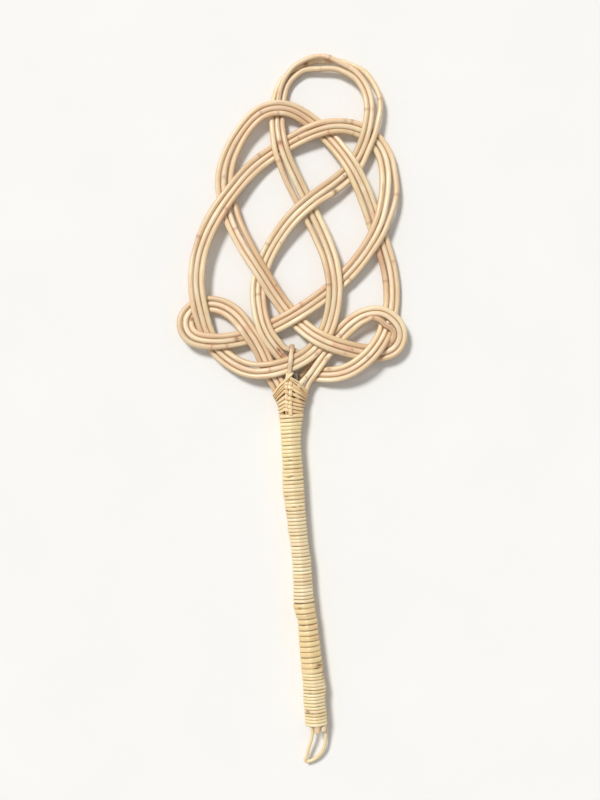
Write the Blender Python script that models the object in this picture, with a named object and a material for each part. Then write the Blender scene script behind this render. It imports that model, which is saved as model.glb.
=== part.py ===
"""Carpet beater of rattan cane, as separate pieces: six canes, their bindings and a hanging loop.

Three canes lie side by side in one band. The band leaves the handle, is woven through itself
into the knotted head and comes back to the handle, where all six canes run round a core and
are bound with flat strips. X is across the head, Y along the beater with the head at +Y, and
Z is up from the floor that the beater lies on.
"""
import math
from dataclasses import dataclass

import bpy
import numpy as np
from mathutils import Matrix, Vector

NAME = "carpet_beater"

# The head, read from the throat where its band of canes enters the handle.
HEAD_WIDTH = 0.232
HEAD_LENGTH = 0.325

# Round cane, and the air that touching pieces keep between them.
CANE_DIAMETER = 0.0051
CLEARANCE = 0.0003

# The handle runs from the foot of the throat to the butt.
THROAT_LENGTH = 0.035
HANDLE_LENGTH = 0.315
THROAT_ACROSS_SHARE = -0.004

# The core's upper end shows in the throat.
CORE_TOP_ACROSS = 0.0045
CORE_TOP_ALONG = 0.0025
CORE_TOP_DIAMETER = 0.0074

# Flat binding strip.
STRIP_THICKNESS = 0.0011
STRIP_GAP = 0.00047
LASHING_LENGTH = 0.0210

# The strap that holds the head's band down to the throat.
STRAP_WIDTH = 0.0048
STRAP_THICKNESS = 0.0012
STRAP_ACROSS = -0.0008

# The loop that the beater hangs by.
LOOP_DIAMETER = 0.0034
LOOP_LENGTH = 0.038
LOOP_WIDTH = 0.024
LOOP_DROP = 0.008

# Along the handle, its bow sideways, the core's girth in canes, and how far the ring of canes
# is spread sideways.
HANDLE_SHARES = (
    (0.00, 0.000, 1.27, 1.65),
    (0.05, 0.001, 1.45, 1.20),
    (0.12, 0.004, 1.55, 1.00),
    (0.20, 0.010, 1.52, 1.00),
    (0.30, 0.017, 1.39, 1.00),
    (0.40, 0.026, 1.27, 1.00),
    (0.55, 0.041, 1.29, 1.00),
    (0.62, 0.048, 1.43, 1.00),
    (0.70, 0.056, 1.37, 1.00),
    (0.80, 0.067, 1.59, 1.00),
    (0.90, 0.077, 1.70, 1.00),
    (1.00, 0.085, 1.70, 1.00),
)
END_SHARE = 1.04

# The bindings from the throat to the butt, one strip after another on a single spiral: name,
# turns, how wide a turn is against the others, and corners to a turn.
BINDING_SHARES = (
    ("throat_lashing", 5, 1.095, 12),
    ("upper_binding", 17, 1.000, 9),
    ("splice_binding", 8, 1.005, 9),
    ("waist_binding", 24, 1.000, 8),
    ("grip_binding", 13, 1.420, 9),
    ("butt_binding", 16, 0.974, 9),
)

# The middle cane's course through the head, left side of the handle first, as shares of the
# head's width and length. Where the canes lie apart, three more values say how far the outer,
# middle and inner cane lie to the right of it, in cane spacings.
COURSE_SHARES = (
    (-0.053, -0.033), (-0.094, 0.019), (-0.135, 0.084), (-0.185, 0.142, -1.10, 0.00, 1.00),
    (-0.241, 0.192, -1.15, 0.00, 1.05), (-0.306, 0.221, -1.15, 0.00, 1.00),
    (-0.372, 0.226, -1.10, 0.00, 1.00), (-0.428, 0.210, -1.15, 0.00, 1.00),
    (-0.459, 0.173, -1.10, 0.00, 1.10), (-0.438, 0.130, -1.05, 0.00, 1.20),
    (-0.370, 0.111, -1.00, 0.00, 1.10), (-0.284, 0.111), (-0.179, 0.127), (-0.069, 0.159),
    (0.038, 0.201), (0.142, 0.254), (0.240, 0.315, -1.05, 0.00, 1.00),
    (0.327, 0.391, -1.05, 0.00, 1.00), (0.389, 0.476, -1.10, 0.00, 1.20),
    (0.417, 0.564, -1.15, 0.00, 1.60), (0.418, 0.653, -1.20, 0.00, 1.15),
    (0.381, 0.722, -1.10, 0.00, 1.00), (0.303, 0.764), (0.202, 0.776),
    (0.091, 0.758, -1.00, 0.00, 1.10), (-0.032, 0.717), (-0.156, 0.656, -1.05, 0.00, 1.00),
    (-0.256, 0.574), (-0.337, 0.487, -1.10, 0.00, 1.10), (-0.394, 0.391, -1.10, 0.00, 1.00),
    (-0.412, 0.285, -1.10, 0.00, 1.00), (-0.388, 0.183, -1.05, 0.00, 1.05), (-0.340, 0.099),
    (-0.261, 0.046, -1.10, 0.00, 1.00), (-0.172, 0.019, -1.20, 0.00, 1.00),
    (-0.071, 0.024, -1.10, 0.00, 1.05), (0.021, 0.047), (0.095, 0.084), (0.147, 0.137),
    (0.178, 0.208), (0.185, 0.285, -1.05, 0.00, 1.05), (0.165, 0.366, -1.10, 0.00, 1.15),
    (0.127, 0.441, -1.25, 0.00, 1.15), (0.075, 0.520, -1.35, 0.00, 1.10),
    (0.018, 0.601, -1.45, 0.00, 1.10), (-0.035, 0.686, -1.25, 0.00, 1.00), (-0.061, 0.771),
    (-0.059, 0.845), (-0.035, 0.914, -0.70, -0.10, 0.95), (0.030, 0.965, 0.15, -0.35, 1.15),
    (0.124, 0.983, 0.20, -0.65, 1.60), (0.227, 0.970, -0.50, 0.20, 1.35),
    (0.306, 0.923, -1.30, 0.00, 1.00), (0.346, 0.854, -1.65, 0.00, 1.00),
    (0.342, 0.781, -1.30, 0.00, 1.00), (0.315, 0.713, -1.05, 0.00, 1.00),
    (0.265, 0.651, -1.30, 0.00, 1.00), (0.182, 0.596, -1.30, 0.00, 1.00),
    (0.089, 0.546, -1.05, 0.00, 1.00), (0.009, 0.494), (-0.061, 0.430), (-0.112, 0.364),
    (-0.143, 0.285), (-0.137, 0.202), (-0.105, 0.132), (-0.056, 0.083, -1.10, 0.00, 1.00),
    (-0.007, 0.045, -2.40, 0.00, 1.00), (0.056, 0.017), (0.133, 0.007), (0.224, 0.013),
    (0.313, 0.050), (0.386, 0.112), (0.428, 0.193), (0.437, 0.275, -1.10, 0.00, 1.00),
    (0.419, 0.359, -1.15, 0.00, 1.00),
    (0.375, 0.456, -1.20, 0.00, 1.00), (0.324, 0.557, -1.20, 0.00, 1.00), (0.256, 0.654),
    (0.181, 0.728), (0.082, 0.794), (-0.027, 0.830), (-0.127, 0.818), (-0.202, 0.769),
    (-0.264, 0.697, -1.15, 0.00, 1.00), (-0.294, 0.616, -1.30, 0.00, 1.10),
    (-0.277, 0.525, -1.40, 0.00, 1.10), (-0.223, 0.430, -1.30, 0.00, 1.00), (-0.145, 0.339),
    (-0.064, 0.250), (0.026, 0.171), (0.137, 0.113, -1.00, 0.00, 1.05),
    (0.251, 0.086, -1.00, 0.00, 1.10), (0.362, 0.073, -1.10, 0.00, 1.10),
    (0.443, 0.090, -1.10, 0.00, 1.10), (0.468, 0.130), (0.446, 0.166, -1.05, 0.00, 1.05),
    (0.391, 0.193), (0.313, 0.188), (0.249, 0.159, -1.15, 0.00, 1.00),
    (0.187, 0.112, -1.10, 0.00, 1.00), (0.125, 0.057), (0.067, 0.001),
    (0.031, -0.031, -1.50, 0.00, 1.00),
)
CLOSE_SHARES = (-1.0, 0.0, 1.0)

# Where the band passes itself: place along the course, place where it comes by again, and
# whether the first lies over the second. Places count the rows of COURSE_SHARES.
PASSES = (
    (1.0, 34.8, False), (2.1, 64.4, False), (2.8, 12.1, True), (6.5, 30.6, False),
    (10.2, 31.9, True), (12.6, 63.8, False), (13.7, 88.8, True), (15.4, 39.9, False),
    (17.8, 75.0, True), (21.7, 54.4, False), (23.7, 78.6, True), (25.1, 45.3, False),
    (27.3, 84.8, True), (35.8, 66.1, True), (37.5, 99.4, True), (37.6, 89.9, False),
    (43.2, 58.3, False), (46.8, 80.3, False), (56.1, 76.9, False), (61.5, 87.2, False),
    (67.3, 100.8, False), (70.4, 91.9, True), (71.9, 95.4, False), (90.3, 99.2, True),
)
LAST = len(COURSE_SHARES) - 1

# Shares of the step from one row of COURSE_SHARES to the next, not of a length: how far off a
# crossing still counts as a row of PASSES, two canes as side by side in the band, and a cane as
# in the throat, where the ring's order rules or where the strips can reach it.
PASS_SHARE = 2.6
BESIDE_SHARE = 1.0
THROAT_SHARE = 0.5
STRIP_SHARE = 1.0

# Each cane of the band: its side of the handle, name, place in the ring round the core as
# shares of the ring's radius, its end in the handle, and its cut end in the head.
CANE_SHARES = (
    ("left", "left_outer_cane", -0.866, -0.5, 0.990, 66.10),
    ("left", "left_middle_cane", -0.866, 0.5, 0.955, 65.70),
    ("left", "left_inner_cane", 0.0, 1.0, 1.025, 65.75),
    ("right", "right_outer_cane", 0.866, -0.5, 0.955, 67.50),
    ("right", "right_middle_cane", 0.866, 0.5, 1.016, 67.32),
    ("right", "right_inner_cane", 0.0, -1.0, 0.990, 67.18),
)
LEAN_SHARE = 2.0 / 3.0

# The hanging loop: along, across and up from the middle of the butt.
LOOP_SHARES = (
    (-0.316, -0.286, 0.43), (0.00, -0.246, 0.41), (0.10, -0.210, 0.36), (0.40, -0.254, 0.15),
    (0.70, -0.387, -0.15), (0.88, -0.460, -0.40), (0.97, -0.500, -0.53), (1.01, -0.430, -0.60),
    (1.00, -0.330, -0.62), (0.93, -0.087, -0.60), (0.79, 0.137, -0.50), (0.64, 0.267, -0.40),
    (0.40, 0.342, -0.25), (0.166, 0.362, -0.17), (0.00, 0.330, -0.15), (-0.316, 0.290, -0.15),
)

# Stations along a cane, in cane diameters and in bend, and steps of the finer lines.
FINE_SHARE = 0.1
STATION_SHARE = 6.0
STATION_TURN = math.radians(32.0)
LOOP_STEP_SHARE = 0.8
STRAP_SAMPLES = 24

# How the canes settle on each other: the length over which their stiffness counts, and the rounds.
STIFF_SHARE = 6.0
PARALLEL_SHARE = 0.97
OWN_SEGMENTS = 3
SETTLE_ROUNDS = 400
OVER_RELAXATION = 1.5

# Roundness of the tubes, the strips' start, and the directions in which a section is measured.
TUBE_RESOLUTION = 2
STRIP_RESOLUTION = 0
START_ANGLE = math.radians(200.0)
ROUND_STEP = math.radians(5.0)
STRAP_STEP = math.radians(30.0)
HOOP_CUTS = 5

CANE_RADIUS = CANE_DIAMETER / 2.0
CANE_SPACING = CANE_DIAMETER + CLEARANCE
THROAT_TOP = -THROAT_LENGTH + LASHING_LENGTH
COLOURS = {
    "left_outer_cane": (0.70, 0.50, 0.29),
    "left_middle_cane": (0.76, 0.56, 0.34),
    "left_inner_cane": (0.72, 0.53, 0.31),
    "right_outer_cane": (0.68, 0.47, 0.26),
    "right_middle_cane": (0.75, 0.54, 0.33),
    "right_inner_cane": (0.73, 0.52, 0.30),
    "core_stick": (0.27, 0.22, 0.17),
    "throat_lashing": (0.74, 0.55, 0.30),
    "tie_strap": (0.77, 0.58, 0.34),
    "upper_binding": (0.74, 0.55, 0.29),
    "splice_binding": (0.69, 0.49, 0.26),
    "waist_binding": (0.72, 0.52, 0.28),
    "grip_binding": (0.64, 0.43, 0.22),
    "butt_binding": (0.70, 0.50, 0.26),
    "hanging_loop": (0.76, 0.58, 0.36),
}
ROUGHNESS = 0.5


@dataclass
class Strand:
    """One cane, or the core, as a line of stations seen in plan with a height at each."""

    name: str
    side: str
    level: float
    number: np.ndarray
    plan: np.ndarray
    radius: np.ndarray
    height: np.ndarray
    fixed: np.ndarray


def smooth(points, step):
    """Return an even-bending line through the points, and the place of each of its points."""
    points = np.asarray(points, float)
    chord = np.r_[0.0, np.cumsum(np.linalg.norm(np.diff(points, axis=0), axis=1))]
    gaps = np.diff(chord)
    count = len(points)
    matrix = np.eye(count)
    right = np.zeros_like(points)
    for row in range(1, count - 1):
        before, after = gaps[row - 1], gaps[row]
        matrix[row, row - 1:row + 2] = before, 2.0 * (before + after), after
        rise = (points[row + 1] - points[row]) / after
        right[row] = 6.0 * (rise - (points[row] - points[row - 1]) / before)
    second = np.linalg.solve(matrix, right)
    where = np.linspace(0.0, chord[-1], int(chord[-1] / step) + 1)
    span = np.clip(np.searchsorted(chord, where, side="right") - 1, 0, count - 2)
    gap = gaps[span][:, None]
    behind = (where - chord[span])[:, None]
    ahead = gap - behind
    line = (second[span] * ahead ** 3 + second[span + 1] * behind ** 3) / (6.0 * gap)
    line += (points[span] / gap - second[span] * gap / 6.0) * ahead
    line += (points[span + 1] / gap - second[span + 1] * gap / 6.0) * behind
    return line, span + behind[:, 0] / gap[:, 0]


def handle(share):
    """Return the handle's place across, its core's radius, and the ring's reach across and up."""
    rows = np.asarray(HANDLE_SHARES)
    bow, girth, spread = (np.interp(share, rows[:, 0], rows[:, column]) for column in (1, 2, 3))
    core = girth * CANE_RADIUS
    ring = core + CLEARANCE + CANE_RADIUS
    return THROAT_ACROSS_SHARE * HEAD_WIDTH + bow * HANDLE_LENGTH, core, ring * spread, ring


def along_handle(share):
    """Return the place in Y of a share of the handle."""
    return -THROAT_LENGTH - share * HANDLE_LENGTH


def share_at(along):
    """Return the share of the handle at a place in Y, below zero in the throat and head."""
    return (-THROAT_LENGTH - along) / HANDLE_LENGTH


def handle_row(share, side):
    """Return the band's place at a share of the handle, in the form of a course row."""
    sideways = [cane[2] for cane in CANE_SHARES if cane[0] == side]
    toward = -1.0 if side == "left" else 1.0
    across, _, spread, _ = handle(share)
    lean = LEAN_SHARE * toward * max(abs(value) for value in sideways)
    offsets = [(value - lean) * spread * -toward / CANE_SPACING for value in sideways]
    return (across + lean * spread, along_handle(share), *offsets)


def course():
    """Return the fine middle line, the three canes' lines and their place numbers."""
    shares = [row[0] for row in HANDLE_SHARES] + [END_SHARE]
    rows = [handle_row(share, "left") for share in reversed(shares)]
    for row in COURSE_SHARES:
        rows.append((row[0] * HEAD_WIDTH, row[1] * HEAD_LENGTH, *(row[2:] or CLOSE_SHARES)))
    rows += [handle_row(share, "right") for share in shares]
    line, number = smooth([row[:2] for row in rows], FINE_SHARE * CANE_DIAMETER)
    ahead = np.gradient(line, axis=0)
    ahead /= np.linalg.norm(ahead, axis=1)[:, None]
    aside = np.stack([ahead[:, 1], -ahead[:, 0]], axis=1)
    offsets = np.asarray([row[2:] for row in rows])
    span = np.minimum(number.astype(int), len(rows) - 2)
    part = (number - span)[:, None]
    ease = part * part * (3.0 - 2.0 * part)
    offsets = offsets[span] * (1.0 - ease) + offsets[span + 1] * ease
    canes = [line + aside * offsets[:, column, None] * CANE_SPACING for column in range(3)]
    return line, canes, number - len(shares)


def effort(line):
    """Return a count of stations along the line, which runs faster where the line bends."""
    steps = np.diff(line, axis=0)
    lengths = np.linalg.norm(steps, axis=1)
    angle = np.unwrap(np.arctan2(steps[:, 1], steps[:, 0]))
    turns = np.r_[0.0, np.abs(np.diff(angle))]
    return np.r_[0.0, np.cumsum(lengths / (STATION_SHARE * CANE_DIAMETER) + turns / STATION_TURN)]


def make_strands():
    """Return the six canes and the core, flat but for their places in the handle."""
    line, canes, number = course()
    count = effort(line)
    strands = []
    for index, (side, name, _, level, _, cut) in enumerate(CANE_SHARES):
        ends = (number[0], cut) if side == "left" else (cut, number[-1])
        low, high = np.interp(ends, number, count)
        marks = np.r_[low, np.arange(math.ceil(low + 0.5), math.floor(high - 0.5) + 1), high]
        place = np.interp(marks, count, number)
        flat = np.stack([np.interp(marks, count, axis) for axis in canes[index % 3].T], axis=1)
        share = share_at(flat[:, 1])
        fixed = (share >= 0.0) & ((place < 0.0) | (place > LAST))
        height = np.where(fixed, level * handle(share)[3], 0.0)
        radius = np.full(len(marks), CANE_RADIUS)
        strands.append(Strand(name, side, level, place, flat, radius, height, fixed))
    shares = np.asarray([row[0] for row in HANDLE_SHARES])
    across, core, _, _ = handle(shares)
    flat = np.stack([across, along_handle(shares)], axis=1)
    flat = np.vstack([[CORE_TOP_ACROSS, CORE_TOP_ALONG], flat])
    radius = np.r_[CORE_TOP_DIAMETER / 2.0, core]
    still = np.zeros(len(flat))
    strands.append(Strand("core_stick", "core", 0.0, still - 1.0, flat, radius, still, still == 0.0))
    return strands


def lies_over(first, second, first_place, second_place):
    """Return 1 where the first strand lies over the second, and -1 where it lies under."""
    places = (first_place, second_place)
    in_throat = all(place < THROAT_SHARE or place > LAST - THROAT_SHARE for place in places)
    if in_throat or "core" in (first.side, second.side):
        return 1 if first.level > second.level else -1
    if first.side == second.side and abs(first_place - second_place) < BESIDE_SHARE:
        return 1 if "middle" in first.name else -1
    best, order = PASS_SHARE, 0
    for low, high, over in PASSES:
        straight = abs(first_place - low) + abs(second_place - high)
        swapped = abs(first_place - high) + abs(second_place - low)
        if min(straight, swapped) < best:
            best = min(straight, swapped)
            order = 1 if over == (straight < swapped) else -1
    return order


def nearest_shares(start, end, point):
    """Return how far along each segment its nearest point to the given point lies."""
    run = end - start
    return np.clip(((point - start) * run).sum(axis=1) / (run * run).sum(axis=1), 0.0, 1.0)


def contacts(strands):
    """Return the places where two strands overlap in plan, with the height that parts them.

    Each contact is (strand, segment, share along it, the same three of the other, height).
    """
    owner = np.concatenate([np.full(len(s.plan) - 1, k) for k, s in enumerate(strands)])
    index = np.concatenate([np.arange(len(s.plan) - 1) for s in strands])
    start = np.concatenate([s.plan[:-1] for s in strands])
    end = np.concatenate([s.plan[1:] for s in strands])
    thick = np.concatenate([s.radius[:-1] for s in strands])
    thicker = np.concatenate([s.radius[1:] for s in strands])
    one, two = np.triu_indices(len(owner), 1)
    apart = np.linalg.norm((start + end)[one] - (start + end)[two], axis=1) / 2.0
    reach = np.linalg.norm(end - start, axis=1) / 2.0 + np.maximum(thick, thicker)
    near = apart < reach[one] + reach[two] + CLEARANCE
    near &= (owner[one] != owner[two]) | (np.abs(index[one] - index[two]) > OWN_SEGMENTS)
    one, two = one[near], two[near]
    run, other = (end - start)[one], (end - start)[two]
    between = start[two] - start[one]
    cross = run[:, 0] * other[:, 1] - run[:, 1] * other[:, 0]
    cross = np.where(cross == 0.0, np.inf, cross)
    first = (between[:, 0] * other[:, 1] - between[:, 1] * other[:, 0]) / cross
    second = (between[:, 0] * run[:, 1] - between[:, 1] * run[:, 0]) / cross
    inside = (first >= 0.0) & (first <= 1.0) & (second >= 0.0) & (second <= 1.0)
    zero, full, always = np.zeros(len(one)), np.ones(len(one)), np.ones(len(one), bool)
    places = [
        (first, second, inside),
        (zero, nearest_shares(start[two], end[two], start[one]), always),
        (full, nearest_shares(start[two], end[two], end[one]), always),
        (nearest_shares(start[one], end[one], start[two]), zero, always),
        (nearest_shares(start[one], end[one], end[two]), full, always),
    ]
    found = {}
    for here, there, valid in places:
        spot = start[one] + run * here[:, None]
        twin = start[two] + other * there[:, None]
        distance = np.linalg.norm(spot - twin, axis=1)
        room = thick[one] + (thicker - thick)[one] * here + CLEARANCE
        room += thick[two] + (thicker - thick)[two] * there
        for k in np.nonzero(valid & (distance < room))[0]:
            key = (owner[one[k]], owner[two[k]], *np.round(np.r_[spot[k], twin[k]] / CLEARANCE))
            rise = math.sqrt(room[k] ** 2 - distance[k] ** 2)
            parallel = distance[k] > PARALLEL_SHARE * room[k]
            found[key] = (owner[one[k]], index[one[k]], here[k], owner[two[k]], index[two[k]],
                          there[k], rise, parallel)
    return list(found.values())


def place_at(strand, segment, share):
    """Return the place number at a share of one of the strand's segments."""
    return strand.number[segment] * (1.0 - share) + strand.number[segment + 1] * share


def order_rows(strands, first_row):
    """Return one equation row for each contact, and the height that it has to reach."""
    rows, heights = [], []
    for one, segment, here, two, twin, there, rise, parallel in contacts(strands):
        first_place = place_at(strands[one], segment, here)
        second_place = place_at(strands[two], twin, there)
        same_side = strands[one].side == strands[two].side
        if parallel and same_side and abs(first_place - second_place) < BESIDE_SHARE:
            continue
        order = lies_over(strands[one], strands[two], first_place, second_place)
        if order == 0:
            print("no order for", strands[one].name, first_place, strands[two].name, second_place)
            continue
        row = np.zeros(first_row[-1])
        for start, share, sign in ((first_row[one] + segment, here, order),
                                   (first_row[two] + twin, there, -order)):
            row[start] += sign * (1.0 - share)
            row[start + 1] += sign * share
        rows.append(row)
        heights.append(rise)
    return np.asarray(rows), np.asarray(heights)


def bending(strands, first_row):
    """Return the matrix of the strands' stiffness against bending and leaving the plane."""
    matrix = np.zeros((first_row[-1], first_row[-1]))
    for strand, first in zip(strands, first_row):
        lengths = np.linalg.norm(np.diff(strand.plan, axis=0), axis=1) / (STIFF_SHARE * CANE_DIAMETER)
        for k in range(1, len(lengths)):
            before, after = lengths[k - 1], lengths[k]
            row = np.asarray([1.0 / before, -1.0 / before - 1.0 / after, 1.0 / after])
            span = slice(first + k - 1, first + k + 2)
            matrix[span, span] += np.outer(row, row) * 2.0 / (before + after)
        share = np.r_[lengths, 0.0] / 2.0 + np.r_[0.0, lengths] / 2.0
        rows = np.arange(first, first + len(share))
        matrix[rows, rows] += share
    return matrix


def weave(strands):
    """Raise and lower the strands so that each passes over and under as PASSES says."""
    first_row = np.r_[0, np.cumsum([len(strand.plan) for strand in strands])]
    rows, heights = order_rows(strands, first_row)
    matrix = bending(strands, first_row)
    fixed = np.concatenate([strand.fixed for strand in strands])
    level = np.concatenate([strand.height for strand in strands])
    free = ~fixed
    used = np.abs(rows[:, free]).sum(axis=1) > 0.0
    rows, heights = rows[used], heights[used] - rows[used][:, fixed] @ level[fixed]
    rows = rows[:, free]
    soft = np.linalg.inv(matrix[np.ix_(free, free)])
    rest = -soft @ matrix[np.ix_(free, fixed)] @ level[fixed]
    answer = soft @ rows.T
    links = rows @ answer
    short = rows @ rest - heights
    push = np.zeros(len(heights))
    for _ in range(SETTLE_ROUNDS):
        for k in range(len(push)):
            change = max(-push[k], -OVER_RELAXATION * short[k] / links[k, k])
            if change != 0.0:
                push[k] += change
                short += links[:, k] * change
    level[free] = rest + answer @ push
    for strand, low, high in zip(strands, first_row, first_row[1:]):
        strand.height = level[low:high]
    print("weave: %d contacts, worst shortfall %.3f mm" % (len(push), -1000.0 * short.min()))


def droop(strands):
    """Let the head sink toward its far end until it touches the floor that the handle lies on."""
    floor = -max(belt(strands, along_handle(share))[3] for share in (0.0, 1.0)) - STRIP_THICKNESS
    drops = []
    for strand in strands:
        far = strand.plan[:, 1] > HEAD_LENGTH / 2.0
        above = strand.height[far] - strand.radius[far] - floor
        drops.append((above / (strand.plan[far, 1] / HEAD_LENGTH) ** 2).min(initial=HEAD_LENGTH))
    for strand in strands:
        along = np.maximum(strand.plan[:, 1], 0.0) / HEAD_LENGTH
        strand.height = strand.height - min(drops) * along ** 2


def section(strands, along):
    """Return the (across, height, radius) of each cane and the core where the handle is cut."""
    found = []
    for strand in strands:
        throat = (strand.number < STRIP_SHARE) | (strand.number > LAST - STRIP_SHARE)
        order = np.argsort(strand.plan[throat, 1])
        reached = strand.plan[throat, 1][order]
        if reached[0] <= along <= reached[-1]:
            values = (strand.plan[throat, 0], strand.height[throat], strand.radius[throat])
            found.append([np.interp(along, reached, value[order]) for value in values])
    return np.asarray(found)


def belt(strands, along):
    """Return the middle and half sizes of the ellipse that goes round the canes with clearance."""
    across, height, radius = section(strands, along).T
    radius = radius + CLEARANCE
    middle = ((across + radius).max() + (across - radius).min()) / 2.0
    level = ((height + radius).max() + (height - radius).min()) / 2.0
    high = (height + radius).max() - level
    wide = max((across + radius).max() - middle, high)
    angles = np.arange(0.0, 2.0 * math.pi, ROUND_STEP)[:, None]
    reach = (across - middle) * np.cos(angles) + (height - level) * np.sin(angles) + radius
    ellipse = np.hypot(wide * np.cos(angles), high * np.sin(angles))
    fit = (reach.max(axis=1) / ellipse[:, 0]).max()
    return middle, level, wide * fit, high * fit


def hoop(strands, along, width):
    """Return the middle and half sizes of the ellipse that clears the canes over a strip's width."""
    cuts = np.linspace(along - width / 2.0, along + width / 2.0, HOOP_CUTS)
    belts = np.asarray([belt(strands, cut) for cut in cuts])
    low = (belts[:, :2] - belts[:, 2:]).min(axis=0)
    high = (belts[:, :2] + belts[:, 2:]).max(axis=0)
    return (*(low + high) / 2.0, *(high - low) / 2.0)


def material(name):
    """Return the sub-part's own material."""
    made = bpy.data.materials.new(name)
    made.use_nodes = True
    shader = made.node_tree.nodes["Principled BSDF"]
    shader.inputs["Base Color"].default_value = (*COLOURS[name], 1.0)
    shader.inputs["Roughness"].default_value = ROUGHNESS
    shader.inputs["Metallic"].default_value = 0.0
    return made


def curve_object(name, points, thickness, resolution, radii=None, turned=None, width=0.0):
    """Make a tube, or with a width a flat strip, along the points, and return its object."""
    data = bpy.data.curves.new(name, "CURVE")
    data.dimensions = "3D"
    data.bevel_depth = thickness / 2.0
    data.bevel_resolution = resolution
    data.use_fill_caps = True
    if width:
        data.extrude = (width - thickness) / 2.0
        data.twist_mode = "Z_UP"
    turned = turned or Matrix.Identity(3)
    radii = np.ones(len(points)) if radii is None else radii
    start = Vector(points[0])
    spline = data.splines.new("POLY")
    spline.points.add(len(points) - 1)
    for target, point, radius in zip(spline.points, points, radii):
        target.co = (*(turned.transposed() @ (Vector(point) - start)), 1.0)
        target.radius = radius
    data.materials.append(material(name))
    made = bpy.data.objects.new(name, data)
    made.matrix_world = Matrix.Translation(start) @ turned.to_4x4()
    return made


def make_cane(strand, share):
    """Make one cane, cut off at its share of the handle."""
    along = along_handle(share)
    beyond = strand.fixed & (strand.plan[:, 1] < along)
    points = np.column_stack([strand.plan, strand.height])
    kept = list(points[~beyond])
    reached = strand.plan[strand.fixed, 1]
    order = np.argsort(reached)
    cut = [np.interp(along, reached[order], points[strand.fixed, axis][order]) for axis in range(3)]
    if strand.side == "left":
        kept.insert(0, cut)
    else:
        kept.append(cut)
    return curve_object(strand.name, kept, CANE_DIAMETER, TUBE_RESOLUTION)


def make_core(strand):
    """Make the core, whose girth follows the handle's."""
    points = np.column_stack([strand.plan, strand.height])
    return curve_object(strand.name, points, CANE_DIAMETER, TUBE_RESOLUTION, strand.radius / CANE_RADIUS)


def make_windings(strands):
    """Wind the strips round the canes one after another, from the throat to the butt."""
    pitches = [row[2] for row in BINDING_SHARES]
    steps = [0.0] + [abs(one - two) / 2.0 for one, two in zip(pitches, pitches[1:])]
    turns = sum(row[1] * row[2] for row in BINDING_SHARES) + sum(steps)
    whole = THROAT_TOP - along_handle(1.0) + STRIP_GAP
    unit = whole / (turns + (pitches[0] + pitches[-1]) / 2.0)
    along = THROAT_TOP - (pitches[0] * unit - STRIP_GAP) / 2.0
    made = []
    for (name, count, pitch, corners), step in zip(BINDING_SHARES, steps):
        top = along - step * unit
        along = top - count * pitch * unit
        made.append(make_winding(name, strands, top, along, count, corners))
    return made


def make_winding(name, strands, top, bottom, turns, corners):
    """Wind one flat strip, whose middle runs from top to bottom along Y, and return its object."""
    upper, lower = (Vector((handle(share_at(along))[0], along, 0.0)) for along in (top, bottom))
    down = (lower - upper).normalized()
    turned = Matrix(((-down.y, 0.0, down.x), (down.x, 0.0, down.y), (0.0, 1.0, 0.0)))
    pitch = (lower - upper).length / turns
    width = pitch - STRIP_GAP
    points = []
    for corner in range(turns * corners + 1):
        centre = upper + down * (pitch * corner / corners)
        middle, level, wide, high = hoop(strands, centre.y, width)
        angle = START_ANGLE + 2.0 * math.pi * corner / corners
        wide, high = (size / math.cos(math.pi / corners) + STRIP_THICKNESS / 2.0 for size in (wide, high))
        across = middle - centre.x + wide * math.cos(angle)
        points.append(centre + turned @ Vector((across, level + high * math.sin(angle), 0.0)))
    points[-1] += (points[-2] - points[-1]).normalized() * STRIP_GAP
    print("%s: strip %.2f mm wide, least gap to itself %.3f mm" % (
        name, 1000.0 * width, 1000.0 * least_gap(points, down, width, corners)))
    return curve_object(name, points, STRIP_THICKNESS, STRIP_RESOLUTION, None, turned, width)


def least_gap(points, down, width, corners):
    """Return the least gap between a winding's loops, measured between its points."""
    place = np.asarray([point @ down for point in points])
    where = np.asarray([tuple(point - (point @ down) * down) for point in points])
    one, two = np.triu_indices(len(points), corners // 2)
    aside = np.linalg.norm(where[one] - where[two], axis=1) - STRIP_THICKNESS
    apart = np.abs(place[one] - place[two]) - width
    return np.hypot(np.maximum(aside, 0.0), np.maximum(apart, 0.0)).min()


def make_strap(strands):
    """Make the strap that hooks round the band above the throat and comes back beneath it."""
    circles = []
    for strand in strands:
        line = np.column_stack([strand.plan, strand.height, strand.radius])
        fine = np.concatenate([np.linspace(a, b, STRAP_SAMPLES) for a, b in zip(line[:-1], line[1:])])
        over = np.abs(fine[:, 0] - STRAP_ACROSS) < STRAP_WIDTH / 2.0 + fine[:, 3]
        over &= (fine[:, 1] > THROAT_TOP) & (fine[:, 1] < THROAT_LENGTH)
        circles.append(fine[over, 1:])
    along, level, radius = np.concatenate(circles).T
    room = radius + CLEARANCE + STRAP_THICKNESS / 2.0
    angles = np.arange(math.pi / 2.0, -math.pi / 2.0 - STRAP_STEP / 2.0, -STRAP_STEP)
    reach = [(along * math.cos(a) + level * math.sin(a) + room).max() for a in angles]
    near = THROAT_TOP + CLEARANCE
    path = [(near, reach[0])]
    for a, b, first, second in zip(angles, angles[1:], reach, reach[1:]):
        turn = math.sin(b - a)
        path.append(((first * math.sin(b) - second * math.sin(a)) / turn,
                     (second * math.cos(a) - first * math.cos(b)) / turn))
    path.append((near, -reach[-1]))
    points = [Vector((STRAP_ACROSS, y, z)) for y, z in path]
    turned = Matrix(((0.0, 0.0, 1.0), (1.0, 0.0, 0.0), (0.0, 1.0, 0.0)))
    return curve_object("tie_strap", points, STRAP_THICKNESS, STRIP_RESOLUTION, None, turned, STRAP_WIDTH)


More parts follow.
